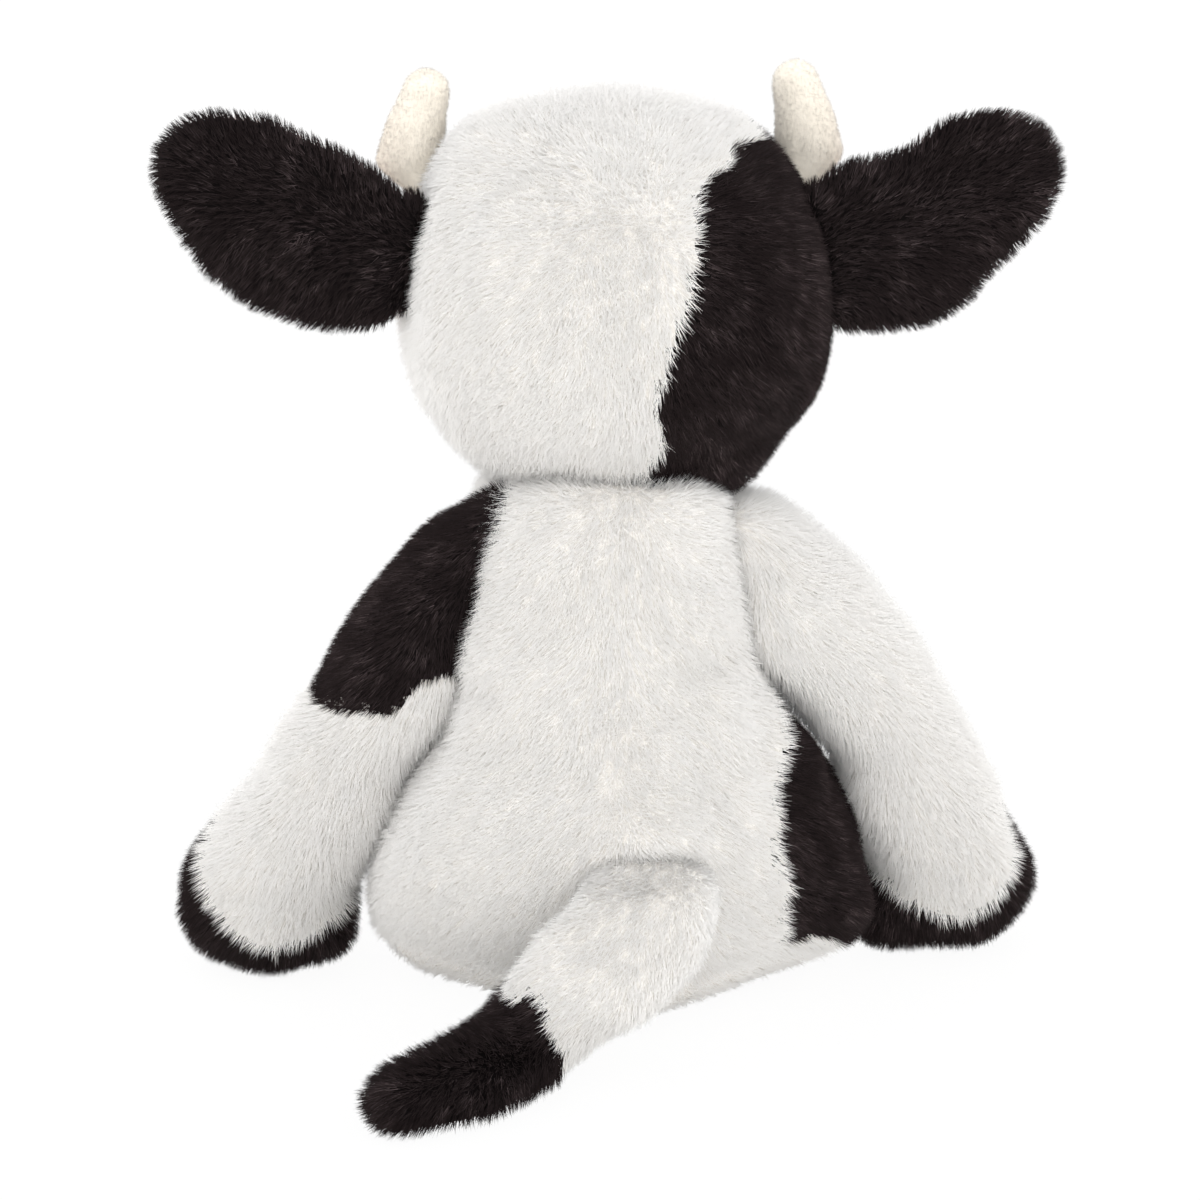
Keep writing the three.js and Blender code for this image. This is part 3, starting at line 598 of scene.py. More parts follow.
@dataclass
class StuffedPart:
    """A stuffed part of the cow: a smooth skin over its filling, and a coat of pile on it."""

    name: str
    body: str
    stuffing: tuple[str, ...]
    panels: tuple[Panel, ...] = ()
    plugs: tuple[str, ...] = ()
    bare: tuple[Finish, str] = (Finish.STUFFING, "stuffing")
    voxel: float = 3 * MM
    smoothing: int = 16
    swell: float = 2.6 * MM
    fill: float = 0.75
    folds: tuple[Fold, ...] = ()
    pulls: tuple[Pull, ...] = ()
    seams: tuple[SeamShift, ...] = ()
    # Starts of the names of the neighbours that the cloth, or only its pile, may press into.
    into: tuple[str, ...] = ()
    over: tuple[str, ...] = ()
    skin: bpy.types.Object | None = field(default=None, init=False)

    def comb(self, points: np.ndarray) -> np.ndarray:
        """Which way the nap is brushed at each place: here straight down."""
        return np.tile(np.array((0.0, 0.0, -1.0), np.float32), (len(points), 1))

    def build(self) -> None:
        own = set(self.stuffing) | set(self.plugs) | {panel.node for panel in self.panels}
        others = [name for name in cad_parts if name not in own]
        self.make_skin(tree_of(name for name in others if not name.startswith(self.into or "?")))
        if self.panels:
            free = self.into + self.over
            self.make_coat(tree_of(name for name in others if not name.startswith(free or "?")))
        LOG.info("%s is sewn", self.name)

    def make_skin(self, others: BVHTree) -> None:
        """Makes the cloth surface from copies of the filling, rounded as stuffed cloth is.

        Args:
            others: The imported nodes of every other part.
        """
        join = bmesh.new()
        for name in self.stuffing + self.plugs:
            join.from_mesh(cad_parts[name].data)
        bmesh.ops.remove_doubles(join, verts=join.verts, dist=WELD)
        mesh = bpy.data.meshes.new(f"{self.name}_skin")
        join.to_mesh(mesh)
        join.free()
        skin = mesh_object(mesh.name, mesh)
        remesh = skin.modifiers.new("even", "REMESH")
        remesh.mode = "VOXEL"
        remesh.voxel_size = self.voxel
        relax = skin.modifiers.new("relax", "SMOOTH")
        relax.factor = 0.5
        relax.iterations = self.smoothing
        make_modifiers_real(skin)
        places, normals = vertex_array(skin.data), normal_array(skin.data)
        room = distances(others, places, CLOTH_SEARCH)
        rise = self.swell * ramp(room, *SWELL_ROOM)
        for fold in self.folds:
            rise -= fold.sink(places)
        places += normals * rise[:, None]
        for pull in self.pulls:
            places = pull.apply(places)
        places[:, 2] = np.maximum(places[:, 2], CLOTH_CLEARANCE)
        skin.data.vertices.foreach_set("co", places.astype(np.float32).ravel())
        skin.data.update()
        skin.data.polygons.foreach_set("use_smooth", np.ones(len(skin.data.polygons), bool))
        self.skin = skin
        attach(skin, self.body)
        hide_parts(*self.stuffing, *[n for n in self.plugs if n.endswith(("_back", "_lining"))])
        if not self.panels:
            skin.data.materials.append(self.bare[0].material())

    def panel_gaps(self, points: np.ndarray) -> np.ndarray:
        """Distance from each place to each panel, less where a panel reaches over its neighbours."""
        gaps = np.stack([distances(tree_of([p.node]), points, PANEL_SEARCH) for p in self.panels], 1)
        gaps -= np.array([panel.reach for panel in self.panels])
        for seam in self.seams:
            number = [panel.node for panel in self.panels].index(seam.node)
            share = Pull(seam.place, (0, 0, 0), seam.reach).share(points)
            gaps[:, number] -= seam.amount / PER_METRE * share
        return gaps

    def make_coat(self, walls: BVHTree) -> None:
        """Colours the skin and grows the pile, panel by panel.

        Args:
            walls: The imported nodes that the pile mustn't run into.
        """
        mesh = self.skin.data
        places, normals = vertex_array(mesh), normal_array(mesh)
        triangles = triangle_array(mesh)
        to_panels = self.panel_gaps(places)
        backings = list(dict.fromkeys(panel.backing for panel in self.panels))
        for backing in backings:
            mesh.materials.append(backing.material())
        first = np.array([p.vertices[0] for p in mesh.polygons])
        index = np.array([backings.index(p.backing) for p in self.panels])[to_panels.argmin(1)[first]]
        mesh.polygons.foreach_set("material_index", index.astype(np.int32))
        room = distances(walls, places, PILE_SEARCH)
        rng = np.random.default_rng(SEED + sum(map(ord, self.name)))
        corners = places[triangles]
        edges = np.cross(corners[:, 1] - corners[:, 0], corners[:, 2] - corners[:, 0])
        areas = np.linalg.norm(edges, axis=1) / 2
        densest = max(panel.pile.per_mm2 for panel in self.panels)
        count = int(areas.sum() / MM**2 * densest)
        chosen = rng.choice(len(areas), count, p=areas / areas.sum())
        mix = rng.dirichlet((1, 1, 1), count).astype(np.float32)
        at = triangles[chosen]
        roots = np.einsum("nk,nkd->nd", mix, places[at])
        lifts = unit(np.einsum("nk,nkd->nd", mix, normals[at]))
        space = np.einsum("nk,nk->n", mix, room[at])
        near = np.einsum("nk,nkp->np", mix, to_panels[at])
        wander = swirl(roots, GROWTH.edge_cell, SEED)[:, : near.shape[1]]
        near += wander * GROWTH.edge_wander * MM
        owner = near.argmin(1)
        wanted = np.array([panel.pile.per_mm2 for panel in self.panels])[owner]
        keep = rng.random(count) < wanted / densest
        keep &= space > GROWTH.root_gap
        under = (roots[:, 2] < GROWTH.under_height) & (lifts[:, 2] < GROWTH.under_facing)
        keep &= ~(under & (rng.random(count) < GROWTH.under_share))
        for number, panel in enumerate(self.panels):
            mine = np.flatnonzero(keep & (owner == number))
            mine = mine[np.argsort(roots[mine, 2])]
            LOG.info("%s has %d fibres", panel.node, len(mine))
            pieces = max(1, math.ceil(len(mine) / FIBRES_PER_PIECE))
            for part, some in enumerate(np.array_split(mine, pieces)):
                if len(some):
                    name = f"{panel.node}_pile_{part + 1}"
                    self.grow(name, panel, roots[some], lifts[some], space[some], walls, rng)

    def grow(
        self,
        name: str,
        panel: Panel,
        roots: np.ndarray,
        lifts: np.ndarray,
        space: np.ndarray,
        walls: BVHTree,
        rng: np.random.Generator,
    ) -> None:
        """Grows one piece of pile as thin three-sided fibres.

        Args:
            name: The piece's name.
            panel: The panel that the fibres belong to.
            roots: Where each fibre leaves the cloth.
            lifts: The cloth's outward direction at each root.
            space: How far other parts are from each root.
            walls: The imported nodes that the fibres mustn't run into.
            rng: The source of chance.
        """
        pile, count = panel.pile, len(roots)
        nap = self.comb(roots)
        nap = nap + swirl(roots, GROWTH.drift, SEED + 1) * pile.tousle
        wave = swirl(roots, GROWTH.wave, SEED + 2) * pile.tousle * GROWTH.wave_share
        nap = nap + wave + rng.normal(0, GROWTH.stray, (count, 3))
        nap -= lifts * (nap * lifts).sum(1, keepdims=True)
        degrees = pile.lean + rng.normal(0, GROWTH.lean_spread, count)
        lean = np.radians(np.clip(degrees, *GROWTH.lean_limits))
        along = lifts * np.cos(lean)[:, None] + unit(nap) * np.sin(lean)[:, None]
        length = pile.length * rng.uniform(*GROWTH.lengths, count)
        close = np.flatnonzero(space < GROWTH.close * pile.length)
        if len(close):
            starts = roots[close] + lifts[close] * GROWTH.view_lift * MM
            free = clearance(walls, starts, along[close], GROWTH.look * pile.length)
            shorter = np.minimum(length[close], free - GROWTH.tip_gap)
            length[close] = np.clip(shorter, GROWTH.shortest, None)
        tips = roots + along * length[:, None]
        wander = swirl(roots, GROWTH.tuft_cell, SEED + 3) * GROWTH.tuft_wander * MM
        cells = np.floor((roots + wander) / pile.tuft).astype(np.int64)
        group = np.unique(cells @ np.array(GROWTH.cell_key), return_inverse=True)[1].ravel()
        size = np.bincount(group)
        middle = np.stack([np.bincount(group, tips[:, k]) / size for k in range(3)], 1)[group]
        draw = pile.gather * rng.uniform(*GROWTH.gathers, count)
        tips += (middle - tips) * draw[:, None]
        along = unit(tips - roots)
        across = unit(np.cross(lifts, along))
        third = unit(np.cross(along, across))
        half = pile.width / 2 * rng.uniform(*GROWTH.widths, count)[:, None]
        places = np.empty((count, 4, 3), np.float32)
        for corner in range(3):
            angle = 2 * math.pi * corner / 3 + math.pi / 2
            side = across * math.cos(angle) + third * math.sin(angle)
            places[:, corner] = roots - lifts * GROWTH.root_depth * MM + side * half
        places[:, 3] = tips
        places[:, :, 2] = np.maximum(places[:, :, 2], FLOOR_CLEARANCE)
        cloud = patches(roots, GROWTH.cloud, SEED + 4)
        strand = patches(roots, GROWTH.strand, SEED + 5)
        by_chance, by_strand, by_cloud = GROWTH.tone_shares
        tone = rng.random(count) * by_chance + strand * by_strand + cloud * by_cloud
        tone = tone**pile.rarity * GROWTH.tone_top
        self.fibre_piece(name, panel, places, lifts, tone)

    def fibre_piece(
        self, name: str, panel: Panel, places: np.ndarray, lifts: np.ndarray, tone: np.ndarray
    ) -> None:
        """Writes fibres into a mesh with its own map and soft normals.

        Args:
            name: The piece's name.
            panel: The panel that the fibres belong to.
            places: Three root corners and a tip for each fibre.
            lifts: The cloth's outward direction at each fibre.
            tone: Each fibre's own tone, from 0 to 1.
        """
        count = len(places)
        start = np.arange(count)[:, None] * 4
        corners = (start[:, :, None] + np.array(FIBRE_SIDES)[None]).astype(np.int32)
        mesh = bpy.data.meshes.new(name)
        mesh.vertices.add(count * 4)
        mesh.vertices.foreach_set("co", places.ravel())
        mesh.loops.add(count * 9)
        mesh.loops.foreach_set("vertex_index", corners.ravel())
        mesh.polygons.add(count * 3)
        mesh.polygons.foreach_set("loop_start", np.arange(count * 3, dtype=np.int32) * 3)
        mesh.polygons.foreach_set("use_smooth", np.ones(count * 3, bool))
        mesh.update(calc_edges=True)
        across = tone[:, None] + np.array(MAP_ACROSS)
        upward = np.tile(np.array(MAP_UPWARD), (count, 1))
        uv = np.stack([across, upward], 2).reshape(-1, 2)[corners.ravel()].astype(np.float32)
        layer = mesh.uv_layers.new(name=PILE_MAP)
        layer.data.foreach_set("uv", uv.ravel())
        normals = normal_array(mesh).reshape(count, 4, 3)
        soft = unit(normals * panel.pile.crisp + lifts[:, None, :])
        mesh.normals_split_custom_set_from_vertices(soft.reshape(-1, 3))
        mesh.materials.append(panel.finish.material())
        coat = mesh_object(name, mesh)
        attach(coat, self.body)
        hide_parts(panel.node)


def comb_along(points: np.ndarray, path: tuple[Point, ...], spread: float) -> np.ndarray:
    """A nap that follows a path.

    Args:
        points: Places to comb.
        path: The path's points, in millimetres, from the root to the end.
        spread: How widely neighbouring stretches of the path blend, in metres.

    Returns:
        One direction for each place.
    """
    stops = np.array(path) * MM
    middles, ways = (stops[1:] + stops[:-1]) / 2, unit(stops[1:] - stops[:-1])
    gaps = np.linalg.norm(points[:, None, :] - middles[None], axis=2)
    weights = np.exp(-((gaps - gaps.min(1, keepdims=True)) / spread))
    return unit(weights @ ways)


WHITE = Pile()
# Its high rarity leaves the pale stray colour, a painted glint, on only a few fibres.
BLACK = Pile(
    length=4.8 * MM, width=0.29 * MM, per_mm2=3.4, tousle=0.4, tuft=1.5 * MM, gather=0.5, crisp=0.8,
    rarity=6.0,
)
EAR = replace(BLACK, length=5.0 * MM, width=0.28 * MM, per_mm2=3.7, tuft=1.9 * MM, gather=0.7)
TUFT = replace(BLACK, length=6.6 * MM, per_mm2=3.6, tousle=0.5, tuft=2.2 * MM, gather=0.6)
HOOF = replace(BLACK, length=5.6 * MM, lean=44.0, per_mm2=3.3, tuft=1.8 * MM, gather=0.55)
ARM = Pile(length=6.8 * MM, lean=44, tousle=0.5, tuft=3 * MM, gather=0.3)
UPRIGHT = Pile(width=0.38 * MM, lean=30, per_mm2=1.55, tousle=0.8)
UNDER = Pile(length=4 * MM, width=0.36 * MM, per_mm2=1.0, lean=60)
SHORT = Pile(length=2.6 * MM, width=0.30 * MM, lean=45, per_mm2=2.9, tousle=0.3, gather=0.2)
TAIL = Pile(length=5.2 * MM, lean=56, tousle=0.15, gather=0.08)
NAP = Pile(length=1.3 * MM, width=0.16 * MM, lean=55, per_mm2=3.4, tousle=0.8, tuft=1.2 * MM, gather=0.1)


def white(node: str, pile: Pile = WHITE) -> Panel:
    """A panel of white plush."""
    return Panel(node, Finish.WHITE_PILE, Finish.WHITE_BACKING, "white_plush", pile)


def black(node: str, pile: Pile = BLACK, reach: float = 0.0) -> Panel:
    """A panel of black plush."""
    return Panel(node, Finish.BLACK_PILE, Finish.BLACK_BACKING, "black_plush", pile, reach)


class Torso(StuffedPart):
    """The torso, brushed down and away from the seam along the back."""

    def __init__(self) -> None:
        super().__init__(
            name="torso",
            body="torso",
            stuffing=("torso_fill",),
            panels=(
                white("torso_cover"),
                black("torso_hip_patch", reach=1.0 * MM),
                white("torso_base_panel", UNDER),
            ),
            plugs=("seat_pellet_bag", "neck_fill"),
            fill=0.7,
            into=("tail_", "left_arm_", "right_arm_", "head_"),
            over=("left_leg_", "right_leg_"),
            pulls=(
                Pull((-4, 50, 58), (0, 6, 1), 26),
                Pull((-4, 52, 40), (0, 4, 0), 22),
                Pull((-4, 56, 70), (0, 5, -1), 24),
                Pull((-66, 22, 20), (-11, 1, -2), 30),
                Pull((48, 30, 120), (3, 2, 0), 20),
                Pull((40, 34, 150), (-1.5, 0, 0), 20),
                Pull((-20, 42, 160), (0, 3, 6), 24),
                Pull((-34, 44, 100), (-1, 5, 0), 18),
                Pull((-56, 24, 90), (-9, 1, 0), 26),
            ),
            seams=(
                SeamShift("torso_hip_patch", (-41, 42, 100), -16, 26),
                SeamShift("torso_hip_patch", (-40, 46, 56), 3.5, 28),
                SeamShift("torso_hip_patch", (-42, 44, 28), 2.5, 22),
                SeamShift("torso_hip_patch", (-58, 32, 14), -3, 18),
            ),
            folds=(
                Fold((-42, 30, 117), (-12, 49, 116), 9, 6),
                Fold((54, 15, 104), (36, 36, 109), 1.5, 4),
                Fold((3, 50, 170), (1, 58, 70), 0.5, 3),
            ),
        )

    def comb(self, points: np.ndarray) -> np.ndarray:
        """Down and outwards from the middle."""
        out = np.zeros_like(points)
        parting, spread = 0.004, 0.018
        shoulders = ramp(points[:, 2], 0.150, 0.176)
        out[:, 0] = np.tanh((points[:, 0] - parting) / spread) * 0.75
        out[:, 2] = -0.6 + 0.45 * shoulders
        return out


class Head(StuffedPart):
    """The head, brushed forwards at the crown and down the back, outwards from the middle."""

    def __init__(self) -> None:
        super().__init__(
            name="head",
            body="head",
            stuffing=("head_fill",),
            panels=(white("head_cover"), black("head_patch", reach=1.2 * MM)),
            plugs=("left_eye_washer", "right_eye_washer"),
            swell=1.6 * MM,
            into=("torso_",),
            over=("left_ear_", "right_ear_"),
            pulls=(
                Pull((40, 0, 268), (2.8, 0, 4.2), 30),
                Pull((-38, 0, 268), (-2, 0, 1.8), 30),
                Pull((-44, 0, 195), (-2.5, 0, -1), 34),
                Pull((46, 0, 195), (1.5, 0, -1), 34),
                Pull((-37, 12, 172), (-4, 1, -3), 20),
                Pull((40, 8, 178), (3.5, 1, -1), 20),
                Pull((-20, 40, 166), (0, 0, 5), 22),
            ),
            seams=(
                SeamShift("head_patch", (-35.5, 4, 274), -10, 21),
                SeamShift("head_patch", (1, 20, 166), -6, 16),
                SeamShift("head_patch", (-4, 40, 182), -6, 22),
                SeamShift("head_patch", (-4, 56, 220), 3, 24),
                SeamShift("head_patch", (-12, 46, 258), -1.5, 22),
                SeamShift("head_patch", (-27, 26, 268), -5, 14),
            ),
            folds=(Fold((1, 55, 235), (2, 50, 195), 0.8, 3),),
        )

    def comb(self, points: np.ndarray) -> np.ndarray:
        """Forwards at the crown, then down and outwards."""
        out = np.zeros_like(points)
        crown = ramp(points[:, 2], 0.235, 0.285)
        out[:, 0] = np.tanh(points[:, 0] / 0.03) * 0.6
        out[:, 1] = -0.4 * crown
        out[:, 2] = -0.7 * (1 - crown)
        return out


class Muzzle(StuffedPart):
    """The muzzle: short rose pile brushed outwards from the nose."""

    def __init__(self) -> None:
        super().__init__(
            name="muzzle",
            body="head",
            stuffing=("muzzle_fill",),
            panels=(Panel("muzzle_cover", Finish.ROSE_PILE, Finish.ROSE_BACKING, "muzzle_plush", SHORT),),
            voxel=2 * MM,
            smoothing=10,
        )

    def comb(self, points: np.ndarray) -> np.ndarray:
        """Outwards on every side, away from the nose."""
        out = points - np.array((0, -0.104, 0.212), np.float32)
        return unit(out)


class Ear(StuffedPart):
    """An ear: two sewn layers, black outside and rose inside, brushed towards its edges."""

    def __init__(
        self, side_name: str, side: int, root_height: float, rise: float, pulls: tuple[Pull, ...]
    ) -> None:
        self.side = side
        self.root_height = root_height
        self.slope = math.tan(math.radians(rise))
        super().__init__(
            name=f"{side_name}_ear",
            body=f"{side_name}_ear",
            stuffing=(),
            panels=(
                black(f"{side_name}_ear_back", EAR, 1.5 * MM),
                Panel(
                    f"{side_name}_ear_lining", Finish.ROSE_PILE, Finish.ROSE_BACKING, "ear_lining", SHORT
                ),
            ),
            plugs=(f"{side_name}_ear_back", f"{side_name}_ear_lining"),
            voxel=1.6 * MM,
            smoothing=6,
            swell=1.2 * MM,
            fill=0.2,
            pulls=pulls,
            seams=(SeamShift(f"{side_name}_ear_back", (70 * side, 0, 256), 6, 26),),
        )

    def comb(self, points: np.ndarray) -> np.ndarray:
        """Towards the tip along the middle, and towards the edge near it."""
        out = np.zeros_like(points)
        reach = points[:, 0] * self.side - 0.062
        middle = self.root_height + reach * self.slope - 0.006
        out[:, 0] = self.side * (0.55 + 0.4 * ramp(reach, 0.03, 0.07))
        out[:, 2] = 0.2 + (points[:, 2] - middle) / 0.024 * 0.9
        return out


class Arm(StuffedPart):
    """An arm, brushed from the shoulder to the hoof."""

    def __init__(
        self,
        side_name: str,
        panels: tuple[Panel, ...],
        path: tuple[Point, ...],
        pulls: tuple[Pull, ...],
        seams: tuple[SeamShift, ...] = (),
    ) -> None:
        self.path = path
        super().__init__(
            name=f"{side_name}_arm",
            body=f"{side_name}_arm",
            stuffing=(f"{side_name}_arm_fill",),
            panels=panels,
            pulls=pulls,
            seams=seams,
            swell=2.2 * MM,
            into=("torso_",),
        )

    def comb(self, points: np.ndarray) -> np.ndarray:
        """Along the arm, flaring at the hoof."""
        wrist = (np.array(self.path[-1]) * 0.7 + np.array(self.path[-2]) * 0.3) * MM
        flare = ramp(-points[:, 2], -0.05, -0.025)[:, None]
        along = comb_along(points, self.path, 8 * MM)
        return along * (1 - 0.5 * flare) + unit(points - wrist) * 0.8 * flare


class Leg(StuffedPart):
    """A leg, brushed from the hip to the hoof."""

    def __init__(self, side_name: str, side: int) -> None:
        self.side = side
        super().__init__(
            name=f"{side_name}_leg",
            body=f"{side_name}_leg",
            stuffing=(f"{side_name}_leg_fill",),
            panels=(white(f"{side_name}_leg_cover", UPRIGHT), black(f"{side_name}_leg_hoof", HOOF)),
            over=("torso_",),
        )

    def comb(self, points: np.ndarray) -> np.ndarray:
        """Forwards, flaring at the hoof."""
        out = np.tile(np.array((0.2 * self.side, -1.0, 0.0), np.float32), (len(points), 1))
        ankle = np.array((0.051 * self.side, -0.118, 0.026), np.float32)
        return out + unit(points - ankle) * ramp(-points[:, 1], 0.11, 0.13)[:, None] * 1.2


class Tail(StuffedPart):
    """The tail, brushed from its root to its spiky tip."""

    def __init__(self) -> None:
        self.path = ((-4, 56, 66), (0, 70, 48), (11, 78, 32), (36, 77, 13), (56, 91, 11), (76, 107, 9))
        super().__init__(
            name="tail",
            body="tail",
            stuffing=("tail_fill",),
            panels=(white("tail_cover", TAIL), black("tail_tuft", TUFT, 3.0 * MM)),
            voxel=2.5 * MM,
            into=("torso_",),
            seams=(
                SeamShift("tail_tuft", (40, 78, 34), -6.5, 14),
                SeamShift("tail_tuft", (26, 84, 10), 4, 16),
            ),
            pulls=(
                Pull((34, 74, 36), (6, 1, 6), 22),
                Pull((20, 70, 50), (7, 0, 4), 20),
                Pull((-14, 66, 50), (-4, 2, 4), 20),
                Pull((50, 96, 6), (0, 7, 0), 30),
                Pull((60, 92, 22), (0, 2, -1), 28),
                Pull((12, 85, 12.6), (-1, -3, 3), 22),
            ),
        )

    def comb(self, points: np.ndarray) -> np.ndarray:
        """Along the tail."""
        return comb_along(points, self.path, 7 * MM)


class Horn(StuffedPart):
    """A felt horn with a short brushed nap."""

    def __init__(self, side_name: str, side: int, pull: Pull) -> None:
        root = Pull((62 * side, -28, 238), (-13 * side, 10, 8), 26)
        super().__init__(
            name=f"{side_name}_horn",
            body="head",
            stuffing=(f"{side_name}_horn_fill",),
            panels=(Panel(f"{side_name}_horn_cover", Finish.FELT_NAP, Finish.FELT, "horn_felt", NAP),),
            voxel=1.4 * MM,
            smoothing=12,
            swell=1.8 * MM,
            fill=0.95,
            pulls=(pull, root),
        )


# Eyes and stitching


@dataclass
class Eye:
    """A glossy dome eye on a shank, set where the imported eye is."""

    side_name: str
    radius: float = 6.2 * MM
    bulge: float = 4.4 * MM
    lip: float = 0.8 * MM
    shank_radius: float = 1.8 * MM
    shank_length: float = 9 * MM
    steps: int = 40
    arcs: int = 10
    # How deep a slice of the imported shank's end its middle is taken from.
    slice_depth: float = 0.3 * MM

    def build(self) -> None:
        """Turns the dome, its edge and its shank about the eye's own line."""
        name = f"{self.side_name}_eye"
        packed = vertex_array(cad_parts[name].data)
        washer = vertex_array(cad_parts[f"{name}_washer"].data).mean(0)
        front = packed[np.linalg.norm(packed - washer, axis=1).argmax()]
        reach = np.linalg.norm(packed - front, axis=1)
        back = packed[reach > reach.max() - self.slice_depth].mean(0)
        outwards = Vector(front - back).normalized()
        shape = bmesh.new()
        outline = [(0.0, self.bulge)]
        for i in range(1, self.arcs + 1):
            angle = math.pi / 2 * i / self.arcs
            outline.append((self.radius * math.sin(angle), self.bulge * math.cos(angle)))
        outline += [(self.radius, -self.lip), (self.radius - self.lip, -2 * self.lip)]
        outline += [(self.shank_radius, -2 * self.lip), (self.shank_radius, -self.shank_length)]
        outline += [(0.0, -self.shank_length)]
        verts = [shape.verts.new((x, 0, z)) for x, z in outline]
        edges = [shape.edges.new(pair) for pair in zip(verts, verts[1:])]
        bmesh.ops.spin(
            shape, geom=verts + edges, cent=(0, 0, 0), axis=(0, 0, 1), angle=2 * math.pi,
            steps=self.steps, use_merge=True, use_duplicate=False,
        )
        bmesh.ops.remove_doubles(shape, verts=shape.verts, dist=WELD)
        bmesh.ops.recalc_face_normals(shape, faces=shape.faces)
        turn = outwards.to_track_quat("Z", "Y").to_matrix().to_4x4()
        middle = Vector(front) - outwards * self.bulge
        bmesh.ops.transform(shape, verts=shape.verts, matrix=Matrix.Translation(middle) @ turn)
        eye = object_from(f"{name}_dome", shape, Finish.EYE)
        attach(eye, "head")
        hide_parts(name)
        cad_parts[f"{name}_washer"].material_slots[0].material = Finish.NYLON.material()
        LOG.info("%s is set", name)


@dataclass
class Stitching:
    """Embroidered nostrils and mouth, in short stitches of thread laid on the muzzle."""

    radius: float = 0.5 * MM
    sides: int = 8
    spans: int = 6
    # How far the thread lies before the skin, and how much higher the stitches' middles are.
    proud: float = 1.6 * MM
    nostril_rise: float = 0.5 * MM
    mouth_rise: float = 0.3 * MM
    # How many stitches a nostril and the mouth have, and how far the mouth's overlap.
    rows: int = 9
    mouth_stitches: int = 9
    overlap: float = 0.12
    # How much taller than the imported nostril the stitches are, and the mouth's inset.
    nostril_height: float = 1.05
    inset: float = 1 * MM

    def stitch(self, shape: bmesh.types.BMesh, start: Vector, end: Vector, lift: Vector) -> None:
        """Adds one stitch that rises between its two ends.

        Args:
            shape: Where the stitch is added.
            start: Where the thread comes up.
            end: Where the thread goes down.
            lift: How far and which way its middle rises.
        """
        way = (end - start).normalized()
        turn = way.to_track_quat("Z", "Y").to_matrix().to_4x4()
        made = bmesh.ops.create_uvsphere(
            shape, u_segments=self.sides, v_segments=self.spans, radius=1.0,
            matrix=Matrix.Translation((start + end) / 2) @ turn
            @ Matrix.Diagonal((self.radius, self.radius, (end - start).length / 2 + self.radius, 1)),
        )
        for vert in made["verts"]:
            share = (vert.co - start).dot(way) / (end - start).length
            vert.co += lift * (1 - (2 * share - 1) ** 2)

    def on_muzzle(self, x: float, z: float) -> Vector:
        """Where a line from the front meets the muzzle's skin."""
        tree = BVHTree.FromObject(bpy.data.objects["muzzle_skin"], bpy.context.evaluated_depsgraph_get())
        return tree.ray_cast(Vector((x, -0.2, z)), Vector((0, 1, 0)))[0]

    def finish_piece(self, name: str, shape: bmesh.types.BMesh) -> None:
        """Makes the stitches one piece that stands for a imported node."""
        piece = object_from(f"{name}_threads", shape, Finish.THREAD)
        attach(piece, "head")
        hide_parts(name)
        LOG.info("%s is embroidered", name)

    def build(self) -> None:
        """Embroiders both nostrils and the mouth."""
        proud = Vector((0, -self.proud, 0))
        for side in ("left", "right"):
            low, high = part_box(f"{side}_nostril_stitching")
            shape = bmesh.new()
            for i in range(self.rows):
                share = (i + 0.5) / self.rows * 2 - 1
                x = (low[0] + high[0]) / 2 + share * (high[0] - low[0]) / 2
                tall = (high[2] - low[2]) / 2 * math.sqrt(1 - share * share) * self.nostril_height
                middle = (low[2] + high[2]) / 2
                down, top = self.on_muzzle(x, middle - tall), self.on_muzzle(x, middle + tall)
                self.stitch(shape, down + proud, top + proud, Vector((0, -self.nostril_rise, 0)))
            self.finish_piece(f"{side}_nostril_stitching", shape)
        low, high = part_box("mouth_stitching")
        shape = bmesh.new()
        half = (high[0] - low[0]) / 2
        points = []
        for i in range(self.mouth_stitches + 1):
            share = i / self.mouth_stitches * 2 - 1
            rise = (high[2] - low[2] - 2 * self.inset) * share * share
            points.append(self.on_muzzle(share * half, low[2] + self.inset + rise) + proud)
        for start, end in zip(points, points[1:]):
            back = (end - start) * self.overlap
            self.stitch(shape, start - back, end + back, Vector((0, -self.mouth_rise, 0)))
        self.finish_piece("mouth_stitching", shape)


# Stage


# The middle of the cow.
LAMP_AIM = (0, 0, 0.13)


@dataclass(frozen=True)
class Lamp:
    """One broad soft lamp, aimed at the cow."""

    name: str
    place: Point
    size: float
    power: float

    def build(self) -> None:
        """Hangs the lamp."""
        data = bpy.data.lights.new(self.name, "AREA")
        data.shape = "DISK"
        data.size = self.size
        data.energy = self.power
        lamp = bpy.data.objects.new(self.name, data)
        bpy.context.scene.collection.objects.link(lamp)
        lamp.location = self.place
        lamp.rotation_mode = "QUATERNION"
        aim = Vector(LAMP_AIM) - Vector(self.place)
        lamp.rotation_quaternion = aim.to_track_quat("-Z", "Y")


